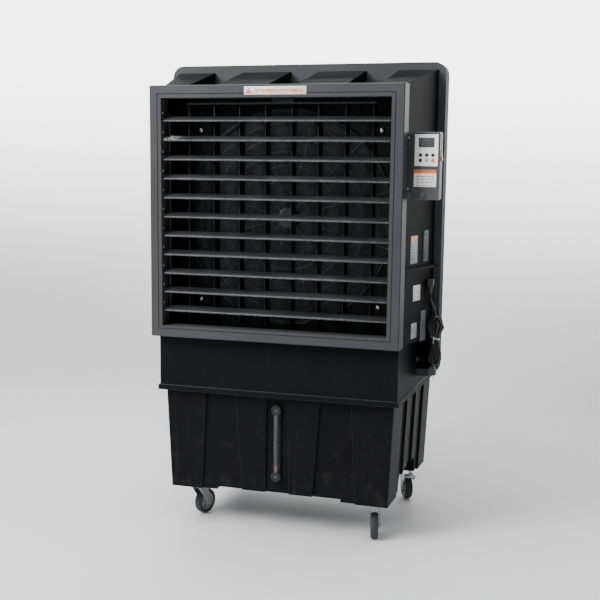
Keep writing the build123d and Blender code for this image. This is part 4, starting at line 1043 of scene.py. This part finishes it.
# ---------------------------------------------------------------- fan and motor
# Five twisted blades moulded in grey-green plastic around a ribbed hub, on the motor's steel shaft.
# The motor is a finned steel drum between two upright posts.
FAN_GREEN = moulded("fan_green", (0.05, 0.057, 0.055), 0.45, dust=0.3, streak=0.3)
FAN_EDGE = edge_wear_and_highlight("fan_edge", (0.20, 0.22, 0.21), 0.3)


def make_impeller():
    shape = Shape()
    hub_y = FACE + 0.222
    shape.lathe(((0.0, 0.0), (0.030, 0.0), (0.034, 0.002), (0.058, 0.002), (0.070, 0.006), (0.075, 0.014),
                 (0.075, 0.064),
                 (0.072, 0.066), (0.0, 0.066)), (fan_place.x, hub_y, fan_place.z), (0, 1, 0), 0, 64)
    for k in range(10):
        turn = about_fan(2 * math.pi * k / 10)
        shape.block((0.034, hub_y + 0.0006, -0.0012), (0.060, hub_y + 0.006, 0.0012), 1, 0.0005, turn)
    shape.rod((fan_place.x, hub_y + 0.06, fan_place.z), (fan_place.x, FACE + 0.372, fan_place.z), 0.008, 2,
              24)
    middle = FACE + 0.255
    for blade in range(5):
        turn = about_fan(math.radians(72 * blade + 20), middle)
        rings = []
        for k in range(11):
            share = k / 10
            reach = 0.066 + share * (0.366 - 0.066)
            pitch = math.radians(34 - 14 * share)
            chord = 0.118 + 0.026 * math.sin(math.pi * min(share * 1.15, 1)) - (0.03 if k == 10 else 0)
            sweep = 0.022 * share * share
            ring = []
            for step in range(9):
                across = -0.5 + step / 8
                camber = 0.010 * (1 - 4 * across * across)
                ring.append((across * chord + sweep, camber + 0.0016 * (1 - 2 * abs(across)) + 0.0004))
            for step in range(9):
                across = 0.5 - step / 8
                camber = 0.010 * (1 - 4 * across * across)
                ring.append((across * chord + sweep, camber - 0.0016 * (1 - 2 * abs(across)) - 0.0004))
            points = []
            for along, lift in ring:
                y = lift * math.cos(pitch) - along * math.sin(pitch)
                z = along * math.cos(pitch) + lift * math.sin(pitch)
                points.append(turn @ Vector((reach, y, z)))
            rings.append(points)
        shape.loft(rings)
    mesh = shape.done("impeller", [FAN_GREEN, FAN_EDGE, ZINC], 40)
    riding("impeller", mesh, [], "fan_impeller", ("fan_impeller",))


make_impeller()
softened("motor_drum", "fan_motor", 0.0012, MOTOR_DARK, ZINC, segments=2)


def make_motor_fins():
    """Cooling fins around the drum and the terminal box."""
    shape = Shape()
    for k in range(36):
        if k in (8, 9, 10):
            continue
        turn = about_fan(2 * math.pi * k / 36)
        shape.block((0.0845, FACE + 0.345, -0.0012), (0.092, FACE + 0.448, 0.0012), 0, 0.0006, turn)
    shape.block((fan_place.x - 0.03, FACE + 0.36, fan_place.z - 0.115),
                (fan_place.x + 0.03, FACE + 0.43, fan_place.z - 0.084),
                0, 0.002)
    riding("motor_fins", shape.done("motor_fins", [MOTOR_DARK]), [])


make_motor_fins()


# ---------------------------------------------------------------- cooling pad
# Corrugated cellulose sheets stand side by side, every second one turned over, so that their edges
# make a honeycomb; they are brown, stiff with resin, and darker where they stay wet.
def pad_finish():
    f = Finish("pad_cellulose")
    wet = f.rise(f.noise(3.0, 5.0, stretch=(1, 1, 0.5)), 0.42, 0.7)
    scale_marks = f.rise(f.noise(16.0, 6.0, shift=4.0), 0.58, 0.75) * f.rise(f.z, 1.3, 0.7)
    tone = f.blend(wet, (0.34, 0.22, 0.11), (0.20, 0.125, 0.06))
    tone = f.blend(scale_marks * 0.6, tone, (0.55, 0.52, 0.46))
    return f.surface(Base_Color=tone, Roughness=0.86 - wet * 0.15, Normal=f.bump(f.noise(500.0, 4.0), 0.0003))


PAD = pad_finish()


def grow_pad():
    low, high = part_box("cooling_pad")
    g = Grower("pad_tree", (("Sheets", "Int"), ("Pitch", "Float"), ("Wave", "Float"), ("Period", "Float")))
    sheet = g.node("GeometryNodeMeshGrid", {}, {"Size X": high.z - low.z, "Size Y": high.y - low.y,
                                               "Vertices X": 400, "Vertices Y": 2})
    upright = g.node("GeometryNodeTransform", {}, {0: sheet, "Rotation": (0, math.pi / 2, 0)})
    place = g.node("GeometryNodeInputPosition")
    height = g.node("ShaderNodeSeparateXYZ", {}, {0: place}, 2)
    turns = g.node("ShaderNodeMath", {"operation": "DIVIDE"}, {0: height, 1: g.given("Period")})
    phase = g.node("ShaderNodeMath", {"operation": "MULTIPLY"}, {0: turns, 1: 2 * math.pi})
    wave = g.node("ShaderNodeMath", {"operation": "SINE"}, {0: phase})
    push = g.node("ShaderNodeMath", {"operation": "MULTIPLY"}, {0: wave, 1: g.given("Wave")})
    offset = g.node("ShaderNodeCombineXYZ", {}, {0: push})
    waved = g.node("GeometryNodeSetPosition", {}, {0: upright, "Offset": offset})
    step = g.node("ShaderNodeCombineXYZ", {}, {0: g.given("Pitch")})
    line = g.node("GeometryNodeMeshLine", {"mode": "OFFSET"},
                  {"Count": g.given("Sheets"), "Offset": step,
                   "Start Location": (low.x + 0.005, (low.y + high.y) / 2, (low.z + high.z) / 2)})
    index = g.node("GeometryNodeInputIndex")
    odd = g.node("ShaderNodeMath", {"operation": "MODULO"}, {0: index, 1: 2.0})
    flip = g.node("ShaderNodeMath", {"operation": "MULTIPLY"}, {0: odd, 1: math.pi})
    turn = g.node("ShaderNodeCombineXYZ", {}, {2: flip})
    sheets = g.node("GeometryNodeInstanceOnPoints", {}, {"Points": line, "Instance": waved, "Rotation": turn})
    values = {"Sheets": 132, "Pitch": (high.x - low.x - 0.010) / 131, "Wave": 0.0034, "Period": 0.016}
    return g.grow("pad_sheets", sheets, PAD, values)


riding("pad_sheets", grow_pad(), [PAD], "cabinet", ("cooling_pad",))

# ---------------------------------------------------------------- rear grille
# A moulded frame of slanted slats that clips over the pad.
# Dusty black plastic, because all the air is drawn through it.
GRILLE_BLACK = moulded("grille_black", (0.016, 0.0165, 0.018), 0.48, dust=0.8, streak=0.4)
softened("grille_frame", "rear_grille", 0.0008, GRILLE_BLACK, BODY_EDGE, segments=2)

# ---------------------------------------------------------------- water circuit
# A submersible pump lifts water through a white plastic riser to a spray pipe over the pad.
# A brass float valve on the left side of the tank keeps the level.
PIPE_WHITE = moulded("pipe_white", (0.62, 0.62, 0.58), 0.4, dust=0.3, streak=0.6)
BRASS = metal("brass", (0.60, 0.44, 0.20), 0.35, brushed=(1, 4, 4))
softened("pump_pipework", "pump_and_riser", 0.0010, PIPE_WHITE, PIPE_WHITE, segments=2)
softened("float_valve", "inlet_valve", 0.0008, BRASS, BRASS, segments=2)

# ---------------------------------------------------------------- controller
# A dark box on a bracket at the right of the outlet: white fascia, a small display and six buttons,
# a wordless label below, and a rocker switch in its right side.
BOX_DARK = moulded("box_dark", (0.07, 0.073, 0.077), 0.4, dust=0.3)
BOX_EDGE = edge_wear_and_highlight("box_edge", (0.09, 0.093, 0.1), 0.3)
f = Finish("fascia_white")
smudge = f.rise(f.noise(50.0, 5.0), 0.5, 0.85) * 0.12
FASCIA = f.surface(Base_Color=f.blend(smudge, (0.92, 0.925, 0.92), (0.5, 0.49, 0.47)), Roughness=0.3 + smudge,
                   Normal=f.bump(f.noise(700.0), 0.00005))
CONTROL_LABEL = label("control_print", at(502, 0, 1326), at(582, 0, 1386), (0.88, 0.87, 0.85),
                      (0.12, 0.12, 0.12),
                      (0.72, 0.20, 0.05), 6, axis="x")
on_fascia = (FASCIA, lambda c, n: n.y < -0.5 and at(502, 0, 0).x < c.x < at(587, 0, 0).x
             and 1.397 < c.z < 1.509 and c.y < at(0, 74, 0).y)
on_label = (CONTROL_LABEL, lambda c, n: n.y < -0.5 and 1.325 < c.z < 1.387 and c.y < at(0, 74.5, 0).y)
softened("controller_case", "controller_box", 0.0009, BOX_DARK, BOX_EDGE, segments=2,
         paint=(on_fascia, on_label))

f = Finish("display_glass")
DISPLAY = f.surface(Base_Color=f.blend(f.rise(f.noise(30.0), 0.3, 0.8), (0.055, 0.06, 0.058),
                                       (0.09, 0.095, 0.09)),
                    Roughness=0.12 + f.noise(80.0) * 0.1, Normal=f.bump(f.noise(90.0), 0.00002))
DIGIT = moulded("digit_pale", (0.40, 0.44, 0.42), 0.3, dust=0.0)
SEGMENTS = {"a": (0, 2, 1, 0), "b": (1, 1, 0, 1), "c": (1, 0, 0, 1), "d": (0, 0, 1, 0), "e": (0, 0, 0, 1),
            "f": (0, 1, 0, 1), "g": (0, 1, 1, 0)}


def make_display():
    """The display window with two seven-bar digits, and the frame around it."""
    shape = Shape()
    shape.block(at(517, 71.4, 1463), at(572, 73.2, 1496), 0, 0.0012)
    shape.block(at(520, 71.1, 1466), at(569, 72.2, 1493), 1, 0.0005)
    for left, lit in ((531, "abged"), (548, "afgcd")):
        for key in lit:
            column, row, flat, tall = SEGMENTS[key]
            x0, z0 = left + column * 9, 1469 + row * 9.5
            shape.block(at(x0 + 0.6, 70.9, z0 + (0.6 if tall else -0.8)),
                        at(x0 + (8.4 if flat else 2.0), 71.2, z0 + (8.9 if tall else 0.8)), 2, 0.0001)
    riding("display", shape.done("display", [BOX_DARK, DISPLAY, DIGIT]), [])


make_display()
BUTTON_DARK = moulded("button_dark", (0.03, 0.03, 0.034), 0.4, dust=0.05)
BUTTON_PALE = moulded("button_pale", (0.36, 0.37, 0.38), 0.4, dust=0.05)
BUTTON_ORANGE = moulded("button_orange", (0.72, 0.18, 0.03), 0.38, dust=0.05)


def make_button(number, finish):
    """A round cap with a dished face and a skirt behind the fascia."""
    name = "button_%d" % number
    low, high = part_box(name)
    x, z = (low.x + high.x) / 2, (low.z + high.z) / 2
    shape = Shape()
    shape.lathe(((0.0, 0.0007), (0.0028, 0.0004), (0.0046, 0.0), (0.0053, 0.0004), (0.0055, 0.0012),
                 (0.0055, 0.0078),
                 (0.0069, 0.0079), (0.0069, 0.0115), (0.0, 0.0115)), (x, low.y, z), (0, 1, 0), 0, 32)
    riding(name + "_cap", shape.done(name + "_cap", [finish]), [], name, (name,))


for number, finish, slot_name in ((1, BUTTON_DARK, "button_dark"), (2, BUTTON_DARK, "button_dark"),
                                  (3, BUTTON_DARK, "button_dark"), (4, BUTTON_DARK, "button_dark"),
                                  (5, BUTTON_PALE, "button_grey"), (6, BUTTON_ORANGE, "button_orange")):
    make_button(number, finish)
SWITCH_RED = moulded("switch_red", (0.70, 0.09, 0.02), 0.28, dust=0.05)
SWITCH_EDGE = edge_wear_and_highlight("switch_edge", (0.6, 0.08, 0.04), 0.25)
softened("switch_rocker", "power_switch", 0.0006, SWITCH_RED, SWITCH_EDGE, "power_switch", 2)
screws("controller_screws", [at(480, 77.8, 1496), at(480, 77.8, 1318)], 0.0045, (0, -1, 0), BRIGHT_PIN)
softened("strain_relief", "cord_gland", 0.0006, BOX_DARK, BOX_EDGE, segments=2)

# ---------------------------------------------------------------- casters
# Four swivel casters of zinc-plated pressed steel with grey hubs and dark rubber tyres.
# The two at the back have brake pedals.
TYRE = rubber("tyre_dark", (0.022, 0.022, 0.024), 0.62, 0.0001)
HUB_GREY = moulded("hub_grey", (0.30, 0.31, 0.32), 0.4, dust=0.3)
PEDAL = metal("pedal_plate", (0.60, 0.61, 0.62), 0.3, brushed=(1, 1, 3), rust=0.15)
softened("caster_top_plates", "caster_plates", 0.0007, ZINC, ZINC, segments=2)


def make_caster(place):
    """A turned wheel with a crowned tyre and a dished hub, and the pressed fork around it."""
    axle, axis = joint_place("roll_" + place)
    body = "caster_wheel_" + place
    tyre = Shape()
    half = [(0.0335, 0.0138), (0.036, 0.0148), (0.041, 0.0150), (0.0455, 0.0142), (0.0482, 0.0118),
            (0.0492, 0.0095),
            (0.0494, 0.0072), (0.0488, 0.0068), (0.0488, 0.0058), (0.0498, 0.0054), (0.0500, 0.0025)]
    profile = half + [(radius, -along) for radius, along in reversed(half)]
    tyre.lathe([(0.0335, 0.0)] + profile + [(0.0335, 0.0)], axle, axis, 0, 72)
    dish = [(0.0056, 0.0146), (0.0105, 0.0148), (0.0115, 0.0138), (0.0125, 0.0085), (0.0285, 0.0078),
            (0.0305, 0.0120),
            (0.0325, 0.0138), (0.0336, 0.0136)]
    for side in (-1, 1):
        tyre.lathe([(radius, side * along) for radius, along in dish] + [(0.0336, 0.0), (0.0056, 0.0)],
                   axle, axis, 1, 48)
        for k in range(6):
            angle = 2 * math.pi * k / 6
            across = axis.cross(Vector((0, 0, 1)))
            turn = Matrix.Translation(axle) @ Matrix.Rotation(angle, 4, axis) @ Matrix(
                (across, axis, Vector((0, 0, 1)))).transposed().to_4x4()
            tyre.block((0.0115, side * 0.0080 - 0.0008, -0.0012), (0.030, side * 0.0108, 0.0012), 1, 0.0004,
                       turn)
    riding(body + "_turned", tyre.done(body + "_turned", [TYRE, HUB_GREY]), [], body, (body,))
    softened("caster_fork_%s_pressed" % place, "caster_fork_" + place, 0.0009, ZINC, BRIGHT_PIN,
             "caster_fork_" + place, 2)


for place in ("front_left", "front_right", "rear_left", "rear_right"):
    make_caster(place)
for place in ("rear_left", "rear_right"):
    name = "brake_pedal_" + place
    softened(name + "_pressed", name, 0.0006, PEDAL, BRIGHT_PIN, name, 2)
